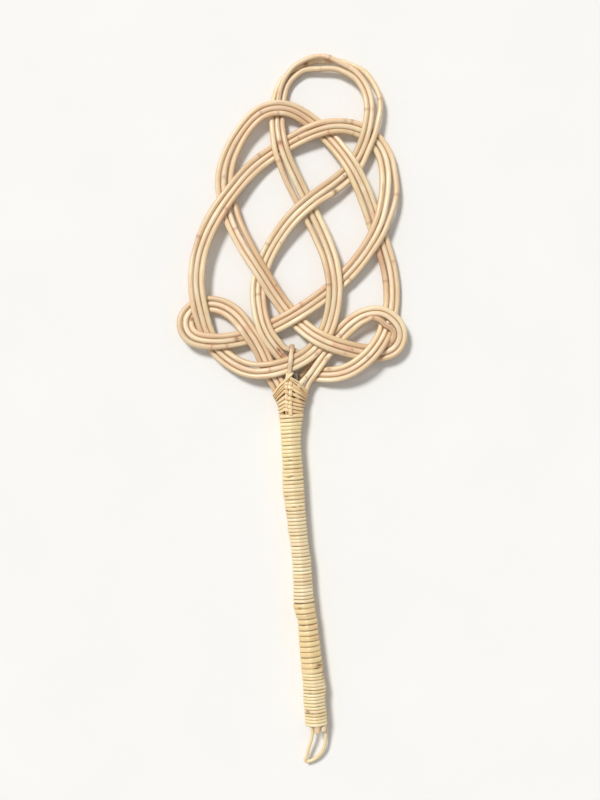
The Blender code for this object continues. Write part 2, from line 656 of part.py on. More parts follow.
def make_loop():
    """Make the hanging loop, whose two legs are tucked into the butt beside the canes."""
    across = handle(1.0)[0]
    rows = [(across + aside * LOOP_WIDTH, along_handle(1.0) - along * LOOP_LENGTH, up * LOOP_DROP)
            for along, aside, up in LOOP_SHARES]
    line, _ = smooth(rows, LOOP_STEP_SHARE * LOOP_DIAMETER)
    return curve_object("hanging_loop", line, LOOP_DIAMETER, TUBE_RESOLUTION)


def clear_scene():
    """Remove every object that the file starts with."""
    for item in list(bpy.data.objects):
        bpy.data.objects.remove(item, do_unlink=True)


def seat(parts):
    """Parent the parts to an empty, and set it so that they stand on the floor, centred."""
    bpy.context.view_layer.update()
    depsgraph = bpy.context.evaluated_depsgraph_get()
    corners, triangles = [], 0
    for item in parts:
        shape = item.evaluated_get(depsgraph)
        mesh = shape.to_mesh()
        mesh.calc_loop_triangles()
        triangles += len(mesh.loop_triangles)
        corners += [item.matrix_world @ vertex.co for vertex in mesh.vertices]
        shape.to_mesh_clear()
    corners = np.asarray([tuple(corner) for corner in corners])
    low, high = corners.min(axis=0), corners.max(axis=0)
    holder = bpy.data.objects.new("seat", None)
    parts[0].users_collection[0].objects.link(holder)
    for item in parts:
        item.parent = holder
    holder.location = (-(low[0] + high[0]) / 2.0, -(low[1] + high[1]) / 2.0, -low[2])
    bpy.context.view_layer.update()
    print("size (mm):", np.round(1000.0 * (high - low), 2), "triangles:", triangles)


def main():
    """Build the carpet beater."""
    clear_scene()
    collection = bpy.data.collections.new(NAME)
    bpy.context.scene.collection.children.link(collection)
    strands = make_strands()
    weave(strands)
    droop(strands)
    parts = [make_cane(strand, cane[4]) for strand, cane in zip(strands, CANE_SHARES)]
    parts.append(make_core(strands[-1]))
    parts += make_windings(strands)
    parts.append(make_strap(strands))
    parts.append(make_loop())
    for item in parts:
        collection.objects.link(item)
    seat(parts)


main()
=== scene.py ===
"""Looks of a carpet beater woven from rattan cane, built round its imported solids.

The canes' courses, the weave that parts them in height, and the bound handle are worked out
here again on finer lines than the solids have, so that every new piece lies where its solid
lies. X is across the head, Y along the beater with the head at +Y, and Z is up.
"""
from __future__ import annotations

import logging
import math
from dataclasses import dataclass
from enum import Enum

import bpy
import numpy as np
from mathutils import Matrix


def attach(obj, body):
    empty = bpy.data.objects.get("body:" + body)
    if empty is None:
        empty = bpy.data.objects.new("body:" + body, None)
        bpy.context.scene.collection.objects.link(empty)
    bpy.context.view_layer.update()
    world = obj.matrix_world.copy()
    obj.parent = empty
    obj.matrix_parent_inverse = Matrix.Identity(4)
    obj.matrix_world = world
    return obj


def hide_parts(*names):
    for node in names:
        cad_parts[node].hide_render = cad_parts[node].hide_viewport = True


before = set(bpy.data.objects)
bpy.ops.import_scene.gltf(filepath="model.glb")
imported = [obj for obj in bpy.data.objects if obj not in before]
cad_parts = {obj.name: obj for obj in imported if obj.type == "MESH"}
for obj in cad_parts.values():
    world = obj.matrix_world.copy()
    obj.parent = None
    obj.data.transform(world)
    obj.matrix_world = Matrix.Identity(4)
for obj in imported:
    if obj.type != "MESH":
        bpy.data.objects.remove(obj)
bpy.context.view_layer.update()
MILLIMETRE = 0.001
Array = np.ndarray

log = logging.getLogger("carpet_beater")


@dataclass(frozen=True)
class Sizes:
    """Driving sizes of the beater in metres, the same as the solids are made from."""

    head_width: float = 0.232
    head_length: float = 0.325
    cane_diameter: float = 0.0051
    clearance: float = 0.0003
    throat_length: float = 0.035
    handle_length: float = 0.315
    throat_across_share: float = -0.004
    core_top_across: float = 0.0045
    core_top_along: float = 0.0025
    core_top_diameter: float = 0.0074
    lashing_length: float = 0.0210
    strap_width: float = 0.0048
    strap_across: float = -0.0008
    loop_diameter: float = 0.0034
    loop_length: float = 0.038
    loop_width: float = 0.024
    loop_drop: float = 0.008
    handle_rise: float = 0.0118

    @property
    def cane_radius(self) -> float:
        """Half the thickness of a cane."""
        return self.cane_diameter / 2.0

    @property
    def cane_spacing(self) -> float:
        """Distance between the middles of two canes that touch."""
        return self.cane_diameter + self.clearance

    @property
    def throat_top(self) -> float:
        """Place along Y where the lashing starts."""
        return -self.throat_length + self.lashing_length

    def spot(self, across_share: float, along_share: float) -> Array:
        """Return a place in plan from shares of the head's width and length."""
        return np.array([across_share * self.head_width, along_share * self.head_length])


SIZES = Sizes()

# Along the handle, its bow sideways, the core's girth in canes, and how far the ring of canes
# is spread sideways.
HANDLE_SHARES = (
    (0.0, 0.0, 1.27, 1.65), (0.05, 0.001, 1.45, 1.2), (0.12, 0.004, 1.55, 1.0), (0.2, 0.01, 1.52, 1.0),
    (0.3, 0.017, 1.39, 1.0), (0.4, 0.026, 1.27, 1.0), (0.55, 0.041, 1.29, 1.0), (0.62, 0.048, 1.43, 1.0),
    (0.7, 0.056, 1.37, 1.0), (0.8, 0.067, 1.59, 1.0), (0.9, 0.077, 1.7, 1.0), (1.0, 0.085, 1.7, 1.0),
)
END_SHARE = 1.04

# The middle cane's course through the head, left side of the handle first, as shares of the
# head's width and length. Where the canes lie apart, three more values say how far the outer,
# middle and inner cane lie to the right of it, in cane spacings.
COURSE_SHARES = (
    (-0.053, -0.033), (-0.094, 0.019), (-0.135, 0.084), (-0.185, 0.142, -1.1, 0.0, 1.0),
    (-0.241, 0.192, -1.15, 0.0, 1.05), (-0.306, 0.221, -1.15, 0.0, 1.0), (-0.372, 0.226, -1.1, 0.0, 1.0),
    (-0.428, 0.21, -1.15, 0.0, 1.0), (-0.459, 0.173, -1.1, 0.0, 1.1), (-0.438, 0.13, -1.05, 0.0, 1.2),
    (-0.37, 0.111, -1.0, 0.0, 1.1), (-0.284, 0.111), (-0.179, 0.127), (-0.069, 0.159), (0.038, 0.201),
    (0.142, 0.254), (0.24, 0.315, -1.05, 0.0, 1.0), (0.327, 0.391, -1.05, 0.0, 1.0),
    (0.389, 0.476, -1.1, 0.0, 1.2), (0.417, 0.564, -1.15, 0.0, 1.6), (0.418, 0.653, -1.2, 0.0, 1.15),
    (0.381, 0.722, -1.1, 0.0, 1.0), (0.303, 0.764), (0.202, 0.776), (0.091, 0.758, -1.0, 0.0, 1.1),
    (-0.032, 0.717), (-0.156, 0.656, -1.05, 0.0, 1.0), (-0.256, 0.574), (-0.337, 0.487, -1.1, 0.0, 1.1),
    (-0.394, 0.391, -1.1, 0.0, 1.0), (-0.412, 0.285, -1.1, 0.0, 1.0), (-0.388, 0.183, -1.05, 0.0, 1.05),
    (-0.34, 0.099), (-0.261, 0.046, -1.1, 0.0, 1.0), (-0.172, 0.019, -1.2, 0.0, 1.0),
    (-0.071, 0.024, -1.1, 0.0, 1.05), (0.021, 0.047), (0.095, 0.084), (0.147, 0.137), (0.178, 0.208),
    (0.185, 0.285, -1.05, 0.0, 1.05), (0.165, 0.366, -1.1, 0.0, 1.15), (0.127, 0.441, -1.25, 0.0, 1.15),
    (0.075, 0.52, -1.35, 0.0, 1.1), (0.018, 0.601, -1.45, 0.0, 1.1), (-0.035, 0.686, -1.25, 0.0, 1.0),
    (-0.061, 0.771), (-0.059, 0.845), (-0.035, 0.914, -0.7, -0.1, 0.95), (0.03, 0.965, 0.15, -0.35, 1.15),
    (0.124, 0.983, 0.2, -0.65, 1.6), (0.227, 0.97, -0.5, 0.2, 1.35), (0.306, 0.923, -1.3, 0.0, 1.0),
    (0.346, 0.854, -1.65, 0.0, 1.0), (0.342, 0.781, -1.3, 0.0, 1.0), (0.315, 0.713, -1.05, 0.0, 1.0),
    (0.265, 0.651, -1.3, 0.0, 1.0), (0.182, 0.596, -1.3, 0.0, 1.0), (0.089, 0.546, -1.05, 0.0, 1.0),
    (0.009, 0.494), (-0.061, 0.43), (-0.112, 0.364), (-0.143, 0.285), (-0.137, 0.202), (-0.105, 0.132),
    (-0.056, 0.083, -1.1, 0.0, 1.0), (-0.007, 0.045, -2.4, 0.0, 1.0), (0.056, 0.017), (0.133, 0.007),
    (0.224, 0.013), (0.313, 0.05), (0.386, 0.112), (0.428, 0.193), (0.437, 0.275, -1.1, 0.0, 1.0),
    (0.419, 0.359, -1.15, 0.0, 1.0), (0.375, 0.456, -1.2, 0.0, 1.0), (0.324, 0.557, -1.2, 0.0, 1.0),
    (0.256, 0.654), (0.181, 0.728), (0.082, 0.794), (-0.027, 0.83), (-0.127, 0.818), (-0.202, 0.769),
    (-0.264, 0.697, -1.15, 0.0, 1.0), (-0.294, 0.616, -1.3, 0.0, 1.1), (-0.277, 0.525, -1.4, 0.0, 1.1),
    (-0.223, 0.43, -1.3, 0.0, 1.0), (-0.145, 0.339), (-0.064, 0.25), (0.026, 0.171),
    (0.137, 0.113, -1.0, 0.0, 1.05), (0.251, 0.086, -1.0, 0.0, 1.1), (0.362, 0.073, -1.1, 0.0, 1.1),
    (0.443, 0.09, -1.1, 0.0, 1.1), (0.468, 0.13), (0.446, 0.166, -1.05, 0.0, 1.05), (0.391, 0.193),
    (0.313, 0.188), (0.249, 0.159, -1.15, 0.0, 1.0), (0.187, 0.112, -1.1, 0.0, 1.0), (0.125, 0.057),
    (0.067, 0.001), (0.031, -0.031, -1.5, 0.0, 1.0),
)
CLOSE_SHARES = (-1.0, 0.0, 1.0)

# Where the band passes itself: place along the course, place where it comes by again, and
# whether the first lies over the second. Places count the rows of COURSE_SHARES.
PASSES = (
    (1.0, 34.8, False), (2.1, 64.4, False), (2.8, 12.1, True), (6.5, 30.6, False), (10.2, 31.9, True),
    (12.6, 63.8, False), (13.7, 88.8, True), (15.4, 39.9, False), (17.8, 75.0, True), (21.7, 54.4, False),
    (23.7, 78.6, True), (25.1, 45.3, False), (27.3, 84.8, True), (35.8, 66.1, True), (37.5, 99.4, True),
    (37.6, 89.9, False), (43.2, 58.3, False), (46.8, 80.3, False), (56.1, 76.9, False),
    (61.5, 87.2, False), (67.3, 100.8, False), (70.4, 91.9, True), (71.9, 95.4, False), (90.3, 99.2, True),
)
LAST = len(COURSE_SHARES) - 1

# The hanging loop: along, across and up from the middle of the butt.
LOOP_SHARES = (
    (-0.316, -0.286, 0.43), (0.0, -0.246, 0.41), (0.1, -0.21, 0.36), (0.4, -0.254, 0.15),
    (0.7, -0.387, -0.15), (0.88, -0.46, -0.4), (0.97, -0.5, -0.53), (1.01, -0.43, -0.6),
    (1.0, -0.33, -0.62), (0.93, -0.087, -0.6), (0.79, 0.137, -0.5), (0.64, 0.267, -0.4),
    (0.4, 0.342, -0.25), (0.166, 0.362, -0.17), (0.0, 0.33, -0.15), (-0.316, 0.29, -0.15),
)


class Side(Enum):
    """The side of the handle that a cane comes out of."""

    LEFT = "left"
    RIGHT = "right"
    CORE = "core"


@dataclass(frozen=True)
class CaneRow:
    """One cane of the band.

    across_share and level_share place it in the ring round the core, end_share cuts it off in
    the handle, and cut_place counts the course's rows to its cut end in the throat.
    """

    name: str
    side: Side
    across_share: float
    level_share: float
    end_share: float
    cut_place: float


CANES = (
    CaneRow("left_outer_cane", Side.LEFT, -0.866, -0.5, 0.990, 66.10),
    CaneRow("left_middle_cane", Side.LEFT, -0.866, 0.5, 0.955, 65.70),
    CaneRow("left_inner_cane", Side.LEFT, 0.0, 1.0, 1.019, 65.75),
    CaneRow("right_outer_cane", Side.RIGHT, 0.866, -0.5, 0.955, 67.50),
    CaneRow("right_middle_cane", Side.RIGHT, 0.866, 0.5, 1.016, 67.32),
    CaneRow("right_inner_cane", Side.RIGHT, 0.0, -1.0, 0.990, 67.18),
)


def unit(vectors: Array) -> Array:
    """Return the vectors of the last axis at length one."""
    return vectors / np.linalg.norm(vectors, axis=-1, keepdims=True)


def lengths_along(points: Array) -> Array:
    """Return how far along the line each of its points lies."""
    return np.r_[0.0, np.cumsum(np.linalg.norm(np.diff(points, axis=0), axis=1))]


def smooth_line(points: Array, step: float) -> tuple[Array, Array]:
    """Draw an even-bending line through points.

    The formula is the natural cubic spline: the second derivatives at the points solve one
    linear system, and each span is a cubic of the values and second derivatives at its ends.

    Args:
        points: rows of coordinates.
        step: the wanted distance between the points of the line.

    Returns:
        The line's points, and for each the row number of points that it lies at.
    """
    chord = lengths_along(points)
    gaps = np.diff(chord)
    count = len(points)
    matrix = np.eye(count)
    rise = np.diff(points, axis=0) / gaps[:, None]
    rows = np.arange(1, count - 1)
    matrix[rows, rows - 1] = gaps[:-1]
    matrix[rows, rows] = 2.0 * (gaps[:-1] + gaps[1:])
    matrix[rows, rows + 1] = gaps[1:]
    right = np.zeros_like(points)
    right[1:-1] = 6.0 * np.diff(rise, axis=0)
    second = np.linalg.solve(matrix, right)
    where = np.linspace(0.0, chord[-1], int(chord[-1] / step) + 1)
    span = np.clip(np.searchsorted(chord, where, side="right") - 1, 0, count - 2)
    gap = gaps[span][:, None]
    behind = (where - chord[span])[:, None]
    ahead = gap - behind
    line = (second[span] * ahead ** 3 + second[span + 1] * behind ** 3) / (6.0 * gap)
    line += (points[span] / gap - second[span] * gap / 6.0) * ahead
    line += (points[span + 1] / gap - second[span + 1] * gap / 6.0) * behind
    return line, span + behind[:, 0] / gap[:, 0]


def smooth_values(where: Array, knots: Array, values: Array) -> Array:
    """Read values between knots along a curve whose slope never jumps (a cubic Hermite).

    Args:
        where: the places to read at.
        knots: rising places.
        values: the value at each knot.

    Returns:
        The value at each place.
    """
    slope = np.gradient(values, knots)
    span = np.clip(np.searchsorted(knots, where, side="right") - 1, 0, len(knots) - 2)
    gap = knots[span + 1] - knots[span]
    part = (where - knots[span]) / gap
    square, cube = part ** 2, part ** 3
    read = (2.0 * cube - 3.0 * square + 1.0) * values[span]
    read += (cube - 2.0 * square + part) * gap * slope[span]
    read += (3.0 * square - 2.0 * cube) * values[span + 1]
    return read + (cube - square) * gap * slope[span + 1]


def waver(where: Array, wavelength: float, seed: int) -> Array:
    """Return a smooth random value from about -1 to 1 at each place, the same on every run.

    The value is a cubic curve through seeded random heights, one to each wavelength.

    Args:
        where: places along a line.
        wavelength: the way between heights.
        seed: the number that the heights hang on.

    Returns:
        The value at each place.
    """
    knots = np.arange(where.min() - wavelength, where.max() + 2.0 * wavelength, wavelength)
    heights = np.random.default_rng(seed).uniform(-1.0, 1.0, len(knots))
    return smooth_values(where, knots, heights)


def held(values: Array) -> Array:
    """Return values held between 0 and 1."""
    return np.clip(values, 0.0, 1.0)


def ease(part: Array) -> Array:
    """Return shares from 0 to 1 with a soft start and end, as three squares less two cubes."""
    return part * part * (3.0 - 2.0 * part)


def softened(values: Array, reach: int) -> Array:
    """Return each value as the mean of those up to reach away, weighted by a bell."""
    bell = np.hanning(2 * reach + 1)
    return np.convolve(np.pad(values, reach, mode="edge"), bell / bell.sum(), "valid")


def read_line(where: Array, travel: Array, line: Array) -> Array:
    """Return the points of a line at given distances along it."""
    return np.stack([np.interp(where, travel, axis) for axis in line.T], axis=1)


def round_angles(count: int) -> Array:
    """Return a count of even angles once round."""
    return np.linspace(0.0, math.tau, count, endpoint=False)


class Handle:
    """The bound handle's middle line and girth, and the courses of the canes in it."""

    lean_share: float = 2.0 / 3.0

    def __init__(self, sizes: Sizes) -> None:
        """Keep the sizes and the rows of HANDLE_SHARES as columns."""
        self.sizes = sizes
        self.share, self.bow, self.girth, self.spread = np.asarray(HANDLE_SHARES).T

    def along(self, share: Array | float) -> Array | float:
        """Return the place in Y of a share of the handle."""
        return -self.sizes.throat_length - share * self.sizes.handle_length

    def share_at(self, along: Array | float) -> Array | float:
        """Return the share of the handle at a place in Y, below zero in the throat and head."""
        return (-self.sizes.throat_length - along) / self.sizes.handle_length

    def across(self, share: Array | float) -> Array | float:
        """Return the middle line's place across at a share of the handle."""
        bow = np.interp(share, self.share, self.bow)
        return self.sizes.throat_across_share * self.sizes.head_width + bow * self.sizes.handle_length

    def core(self, share: Array | float) -> Array | float:
        """Return the core's radius at a share of the handle."""
        return np.interp(share, self.share, self.girth) * self.sizes.cane_radius

    def ring(self, share: Array | float) -> Array | float:
        """Return the radius of the ring on which the six canes' middles lie."""
        return self.core(share) + self.sizes.clearance + self.sizes.cane_radius

    def row(self, share: float, side: Side) -> tuple[float, ...]:
        """Return the band's place at a share of the handle, in the form of a course row.

        The row's middle leans to the side that the canes lie on, so that their offsets from it
        stay small.

        Args:
            share: the place along the handle.
            side: the canes' side.

        Returns:
            Across, along, and each cane's offset in cane spacings.
        """
        sideways = [cane.across_share for cane in CANES if cane.side is side]
        toward = -1.0 if side is Side.LEFT else 1.0
        spread = self.ring(share) * np.interp(share, self.share, self.spread)
        lean = self.lean_share * toward * max(abs(value) for value in sideways)
        offsets = [(value - lean) * spread * -toward / self.sizes.cane_spacing for value in sideways]
        return (self.across(share) + lean * spread, self.along(share), *offsets)


@dataclass
class Strand:
    """One cane, or the core, as a line of stations seen in plan with a height at each."""

    name: str
    side: Side
    level: float
    number: Array
    plan: Array
    radius: Array
    height: Array
    fixed: Array


class Band:
    """The band of three canes: its middle line, each cane's line, and its strands."""

    fine_share: float = 0.1
    station_share: float = 2.4
    station_turn: float = math.radians(13.0)

    def __init__(self, sizes: Sizes, handle: Handle) -> None:
        """Draw the band's lines from the handle through the head and back.

        Args:
            sizes: the driving sizes.
            handle: the handle's middle line.
        """
        self.sizes = sizes
        self.handle = handle
        shares = [row[0] for row in HANDLE_SHARES] + [END_SHARE]
        rows = [handle.row(share, Side.LEFT) for share in reversed(shares)]
        rows += [(*sizes.spot(*row[:2]), *(row[2:] or CLOSE_SHARES)) for row in COURSE_SHARES]
        rows += [handle.row(share, Side.RIGHT) for share in shares]
        table = np.asarray(rows, float)
        self.line, number = smooth_line(table[:, :2], self.fine_share * sizes.cane_diameter)
        self.canes, self.offsets = self._beside(table[:, 2:], number)
        self.number = number - len(shares)

    def _beside(self, offsets: Array, number: Array) -> tuple[list[Array], Array]:
        """Return the three canes' lines beside the middle line, and their offsets.

        Args:
            offsets: each row's three offsets in cane spacings, to the right of the line.
            number: the row number at each point of the middle line.

        Returns:
            The three lines, and the offsets at their points, eased from row to row.
        """
        ahead = unit(np.gradient(self.line, axis=0))
        aside = np.stack([ahead[:, 1], -ahead[:, 0]], axis=1)
        span = np.minimum(number.astype(int), len(offsets) - 2)
        part = ease((number - span)[:, None])
        eased = offsets[span] * (1.0 - part) + offsets[span + 1] * part
        spacing = self.sizes.cane_spacing
        return [self.line + aside * eased[:, k, None] * spacing for k in range(3)], eased

    def _effort(self) -> Array:
        """Return a count of stations along the line, which runs faster where it bends."""
        steps = np.diff(self.line, axis=0)
        angle = np.unwrap(np.arctan2(steps[:, 1], steps[:, 0]))
        turns = np.r_[0.0, np.abs(np.diff(angle))] / self.station_turn
        lengths = np.linalg.norm(steps, axis=1) / (self.station_share * self.sizes.cane_diameter)
        return np.r_[0.0, np.cumsum(lengths + turns)]

    def strands(self) -> list[Strand]:
        """Return the six canes and the core, flat but for their places in the handle."""
        count = self._effort()
        made = []
        for index, cane in enumerate(CANES):
            left = cane.side is Side.LEFT
            ends = (self.number[0], cane.cut_place) if left else (cane.cut_place, self.number[-1])
            low, high = np.interp(ends, self.number, count)
            marks = np.r_[low, np.arange(math.ceil(low + 0.5), math.floor(high - 0.5) + 1), high]
            place = np.interp(marks, count, self.number)
            flat = read_line(marks, count, self.canes[index % 3])
            share = self.handle.share_at(flat[:, 1])
            fixed = (share >= 0.0) & ((place < 0.0) | (place > LAST))
            height = np.where(fixed, cane.level_share * self.handle.ring(share), 0.0)
            radius = np.full(len(marks), self.sizes.cane_radius)
            made.append(Strand(cane.name, cane.side, cane.level_share, place, flat, radius, height, fixed))
        made.append(self._core())
        return made

    def _core(self) -> Strand:
        """Return the core, from its upper end in the throat to the butt."""
        shares = self.handle.share
        flat = np.stack([self.handle.across(shares), self.handle.along(shares)], axis=1)
        flat = np.vstack([[self.sizes.core_top_across, self.sizes.core_top_along], flat])
        radius = np.r_[self.sizes.core_top_diameter / 2.0, self.handle.core(shares)]
        still = np.zeros(len(flat))
        return Strand("core_stick", Side.CORE, 0.0, still - 1.0, flat, radius, still, still == 0.0)


def nearest_shares(start: Array, end: Array, point: Array) -> Array:
    """Return how far along each segment its nearest point to the given point lies."""
    run = end - start
    return held(((point - start) * run).sum(axis=1) / (run * run).sum(axis=1))


class Weave:
    """Raises and lowers the strands so that each passes over and under as PASSES says."""

    pass_share: float = 2.6
    beside_share: float = 1.0
    throat_share: float = 0.5
    stiff_share: float = 6.0
    parallel_share: float = 0.97
    doubt_share: float = 0.7
    own_stretch: float = 14.0
    rounds: int = 60
    over_relaxation: float = 1.5
    give_share: float = 0.0002
    swaps: int = 60
    slack: float = 0.00002

    def __init__(self, sizes: Sizes, strands: list[Strand]) -> None:
        """Keep the strands and the first row of each among all the stations.

        Args:
            sizes: the driving sizes.
            strands: the canes' lines at their stations, and the core.
        """
        self.sizes = sizes
        self.strands = strands
        self.first = np.r_[0, np.cumsum([len(strand.plan) for strand in strands])]

    def _over(self, one: Strand, two: Strand, here: float, there: float) -> int:
        """Return 1 where the first strand lies over the second, -1 under, and 0 where both rows
        of PASSES that say so are about as near, as between the two crossings of a small curl.

        Args:
            one: the first strand.
            two: the second strand.
            here: the crossing's place on the first.
            there: its place on the second.

        Returns:
            1, -1 or 0.
        """
        in_throat = all(p < self.throat_share or p > LAST - self.throat_share for p in (here, there))
        if in_throat or Side.CORE in (one.side, two.side):
            return 1 if one.level > two.level else -1
        if one.side is two.side and abs(here - there) < self.beside_share:
            return 1 if "middle" in one.name else -1
        nearest = {1: self.pass_share, -1: self.pass_share}
        for low, high, over in PASSES:
            straight = abs(here - low) + abs(there - high)
            swapped = abs(here - high) + abs(there - low)
            order = 1 if over == (straight < swapped) else -1
            nearest[order] = min(nearest[order], straight, swapped)
        doubt = abs(nearest[1] - nearest[-1]) < self.doubt_share
        return 0 if doubt else min(nearest, key=nearest.get)

    def _contacts(self) -> list[tuple]:
        """Find the places where two strands overlap in plan, with the height that parts them.

        Two segments are compared where they cross and at each of their four ends. The height
        is the side of a right triangle whose other sides are the distance in plan and the sum
        of the radii with the clearance.

        Returns:
            Rows of (strand, segment, share along it, the same three of the other, height,
            whether the two lie side by side).
        """
        clearance = self.sizes.clearance
        table = np.vstack([np.column_stack([
            np.full(len(s.plan) - 1, k), np.arange(len(s.plan) - 1), s.plan[:-1], s.plan[1:],
            s.radius[:-1], s.radius[1:], lengths_along(s.plan)[:-1],
        ]) for k, s in enumerate(self.strands)])
        owner, index = table[:, :2].astype(int).T
        start, end = table[:, 2:4], table[:, 4:6]
        thick, thicker, travel = table[:, 6:].T
        one, two = np.triu_indices(len(owner), 1)
        apart = np.linalg.norm((start + end)[one] - (start + end)[two], axis=1) / 2.0
        reach = np.linalg.norm(end - start, axis=1) / 2.0 + np.maximum(thick, thicker)
        near = apart < reach[one] + reach[two] + clearance
        far = np.abs(travel[one] - travel[two]) > self.own_stretch * self.sizes.cane_diameter
        near &= (owner[one] != owner[two]) | far
        one, two = one[near], two[near]
        run, other = (end - start)[one], (end - start)[two]
        between = start[two] - start[one]
        cross = run[:, 0] * other[:, 1] - run[:, 1] * other[:, 0]
        cross = np.where(cross == 0.0, np.inf, cross)
        first = (between[:, 0] * other[:, 1] - between[:, 1] * other[:, 0]) / cross
        second = (between[:, 0] * run[:, 1] - between[:, 1] * run[:, 0]) / cross
        inside = (first >= 0.0) & (first <= 1.0) & (second >= 0.0) & (second <= 1.0)
        zero, full, always = np.zeros(len(one)), np.ones(len(one)), np.ones(len(one), bool)
        places = [
            (first, second, inside),
            (zero, nearest_shares(start[two], end[two], start[one]), always),
            (full, nearest_shares(start[two], end[two], end[one]), always),
            (nearest_shares(start[one], end[one], start[two]), zero, always),
            (nearest_shares(start[one], end[one], end[two]), full, always),
        ]
        found = {}
        for here, there, valid in places:
            spot = start[one] + run * here[:, None]
            twin = start[two] + other * there[:, None]
            distance = np.linalg.norm(spot - twin, axis=1)
            room = thick[one] + (thicker - thick)[one] * here + clearance
            room += thick[two] + (thicker - thick)[two] * there
            for k in np.nonzero(valid & (distance < room))[0]:
                key = (owner[one[k]], owner[two[k]], *np.round(np.r_[spot[k], twin[k]] / clearance))
                rise = math.sqrt(room[k] ** 2 - distance[k] ** 2)
                beside = distance[k] > self.parallel_share * room[k]
                found[key] = (owner[one[k]], index[one[k]], here[k], owner[two[k]], index[two[k]],
                              there[k], rise, beside)
        return list(found.values())

    def _rows(self) -> tuple[Array, Array]:
        """Return one equation row for each contact, and the height that it has to reach."""
        rows, heights = [], []
        for one, segment, here, two, twin, there, rise, beside in self._contacts():
            first, second = self.strands[one], self.strands[two]
            here_number = first.number[segment] * (1.0 - here) + first.number[segment + 1] * here
            there_number = second.number[twin] * (1.0 - there) + second.number[twin + 1] * there
            close = first.side is second.side and abs(here_number - there_number) < self.beside_share
            order = self._over(first, second, here_number, there_number)
            if order == 0 or (beside and close):
                continue
            row = np.zeros(self.first[-1])
            for begin, share, sign in ((self.first[one] + segment, here, order),
                                       (self.first[two] + twin, there, -order)):
                row[begin] += sign * (1.0 - share)
                row[begin + 1] += sign * share
            rows.append(row)
            heights.append(rise)
        return np.asarray(rows), np.asarray(heights)

    def _bending(self) -> Array:
        """Return the matrix of the strands' stiffness against bending and leaving the plane."""
        matrix = np.zeros((self.first[-1], self.first[-1]))
        stretch = self.stiff_share * self.sizes.cane_diameter
        for strand, first in zip(self.strands, self.first):
            lengths = np.linalg.norm(np.diff(strand.plan, axis=0), axis=1) / stretch
            for k in range(1, len(lengths)):
                before, after = lengths[k - 1], lengths[k]
                row = np.asarray([1.0 / before, -1.0 / before - 1.0 / after, 1.0 / after])
                span = slice(first + k - 1, first + k + 2)
                matrix[span, span] += np.outer(row, row) * 2.0 / (before + after)
            share = np.r_[lengths, 0.0] / 2.0 + np.r_[0.0, lengths] / 2.0
            rows = np.arange(first, first + len(share))
            matrix[rows, rows] += share
        return matrix

    def _sharpen(self, links: Array, short: Array, push: Array) -> Array:
        """Solve for the pushes of the contacts that press, and swap contacts until all agree.

        Args:
            links: how far a push at one contact parts every contact.
            short: how far each contact is parted without any push, less what it needs.
            push: the pushes to start from.

        Returns:
            The pushes, none of them below zero.
        """
        active = push > 0.0
        give = self.give_share * np.diag(links).mean()
        for _ in range(self.swaps):
            chosen = np.nonzero(active)[0]
            block = links[np.ix_(chosen, chosen)] + give * np.eye(len(chosen))
            push = np.zeros(len(short))
            push[chosen] = np.linalg.solve(block, -short[chosen])
            wanting = short + links @ push < -self.slack
            pulling = push < 0.0
            if not (wanting & ~active).any() and not pulling.any():
                break
            active = (active | wanting) & ~pulling
        return np.maximum(push, 0.0)

    def settle(self) -> None:
        """Find the least bent heights that part every contact, and give them to the strands.

        The heights are those of the free strands plus one push at each contact, and each round
        sets every push in turn so that its contact is parted and no push pulls.
        """
        rows, heights = self._rows()
        matrix = self._bending()
        fixed = np.concatenate([strand.fixed for strand in self.strands])
        level = np.concatenate([strand.height for strand in self.strands])
        free = ~fixed
        used = np.abs(rows[:, free]).sum(axis=1) > 0.0
        rows, heights = rows[used], heights[used] - rows[used][:, fixed] @ level[fixed]
        rows = rows[:, free]
        soft = np.linalg.inv(matrix[np.ix_(free, free)])
        rest = -soft @ matrix[np.ix_(free, fixed)] @ level[fixed]
        answer = soft @ rows.T
        links = rows @ answer
        short = rows @ rest - heights
        push = np.zeros(len(heights))
        own = np.diag(links).copy()
        for _ in range(self.rounds):
            for k in range(len(push)):
                change = max(-push[k], -self.over_relaxation * short[k] / own[k])
                if change != 0.0:
                    push[k] += change
                    short += links[k] * change
        push = self._sharpen(links, rows @ rest - heights, push)
        short = rows @ rest - heights + links @ push
        level[free] = rest + answer @ push
        for strand, low, high in zip(self.strands, self.first, self.first[1:]):
            strand.height = level[low:high]
        log.info("weave: %d stations, %d contacts, worst shortfall %.3f mm",
                 len(level), len(push), -short.min() / MILLIMETRE)

    def droop(self, floor: float) -> None:
        """Let the head sink toward its far end, by the square of the way there, to the floor.

        Args:
            floor: the height that the lowest cane comes down to.
        """
        length = self.sizes.head_length
        drops = []
        for strand in self.strands:
            far = strand.plan[:, 1] > length / 2.0
            above = strand.height[far] - strand.radius[far] - floor
            drops.append((above / (strand.plan[far, 1] / length) ** 2).min(initial=length))
        for strand in self.strands:
            along = np.maximum(strand.plan[:, 1], 0.0) / length
            strand.height = strand.height - min(drops) * along ** 2


def with_poles(grid: Array) -> Array:
    """Return what a grid holds as rows, followed by the means of its first and last ring."""
    rings = grid.reshape(*grid.shape[:2], -1)
    return np.vstack([rings.reshape(-1, rings.shape[2]), rings[[0, -1]].mean(axis=1)])


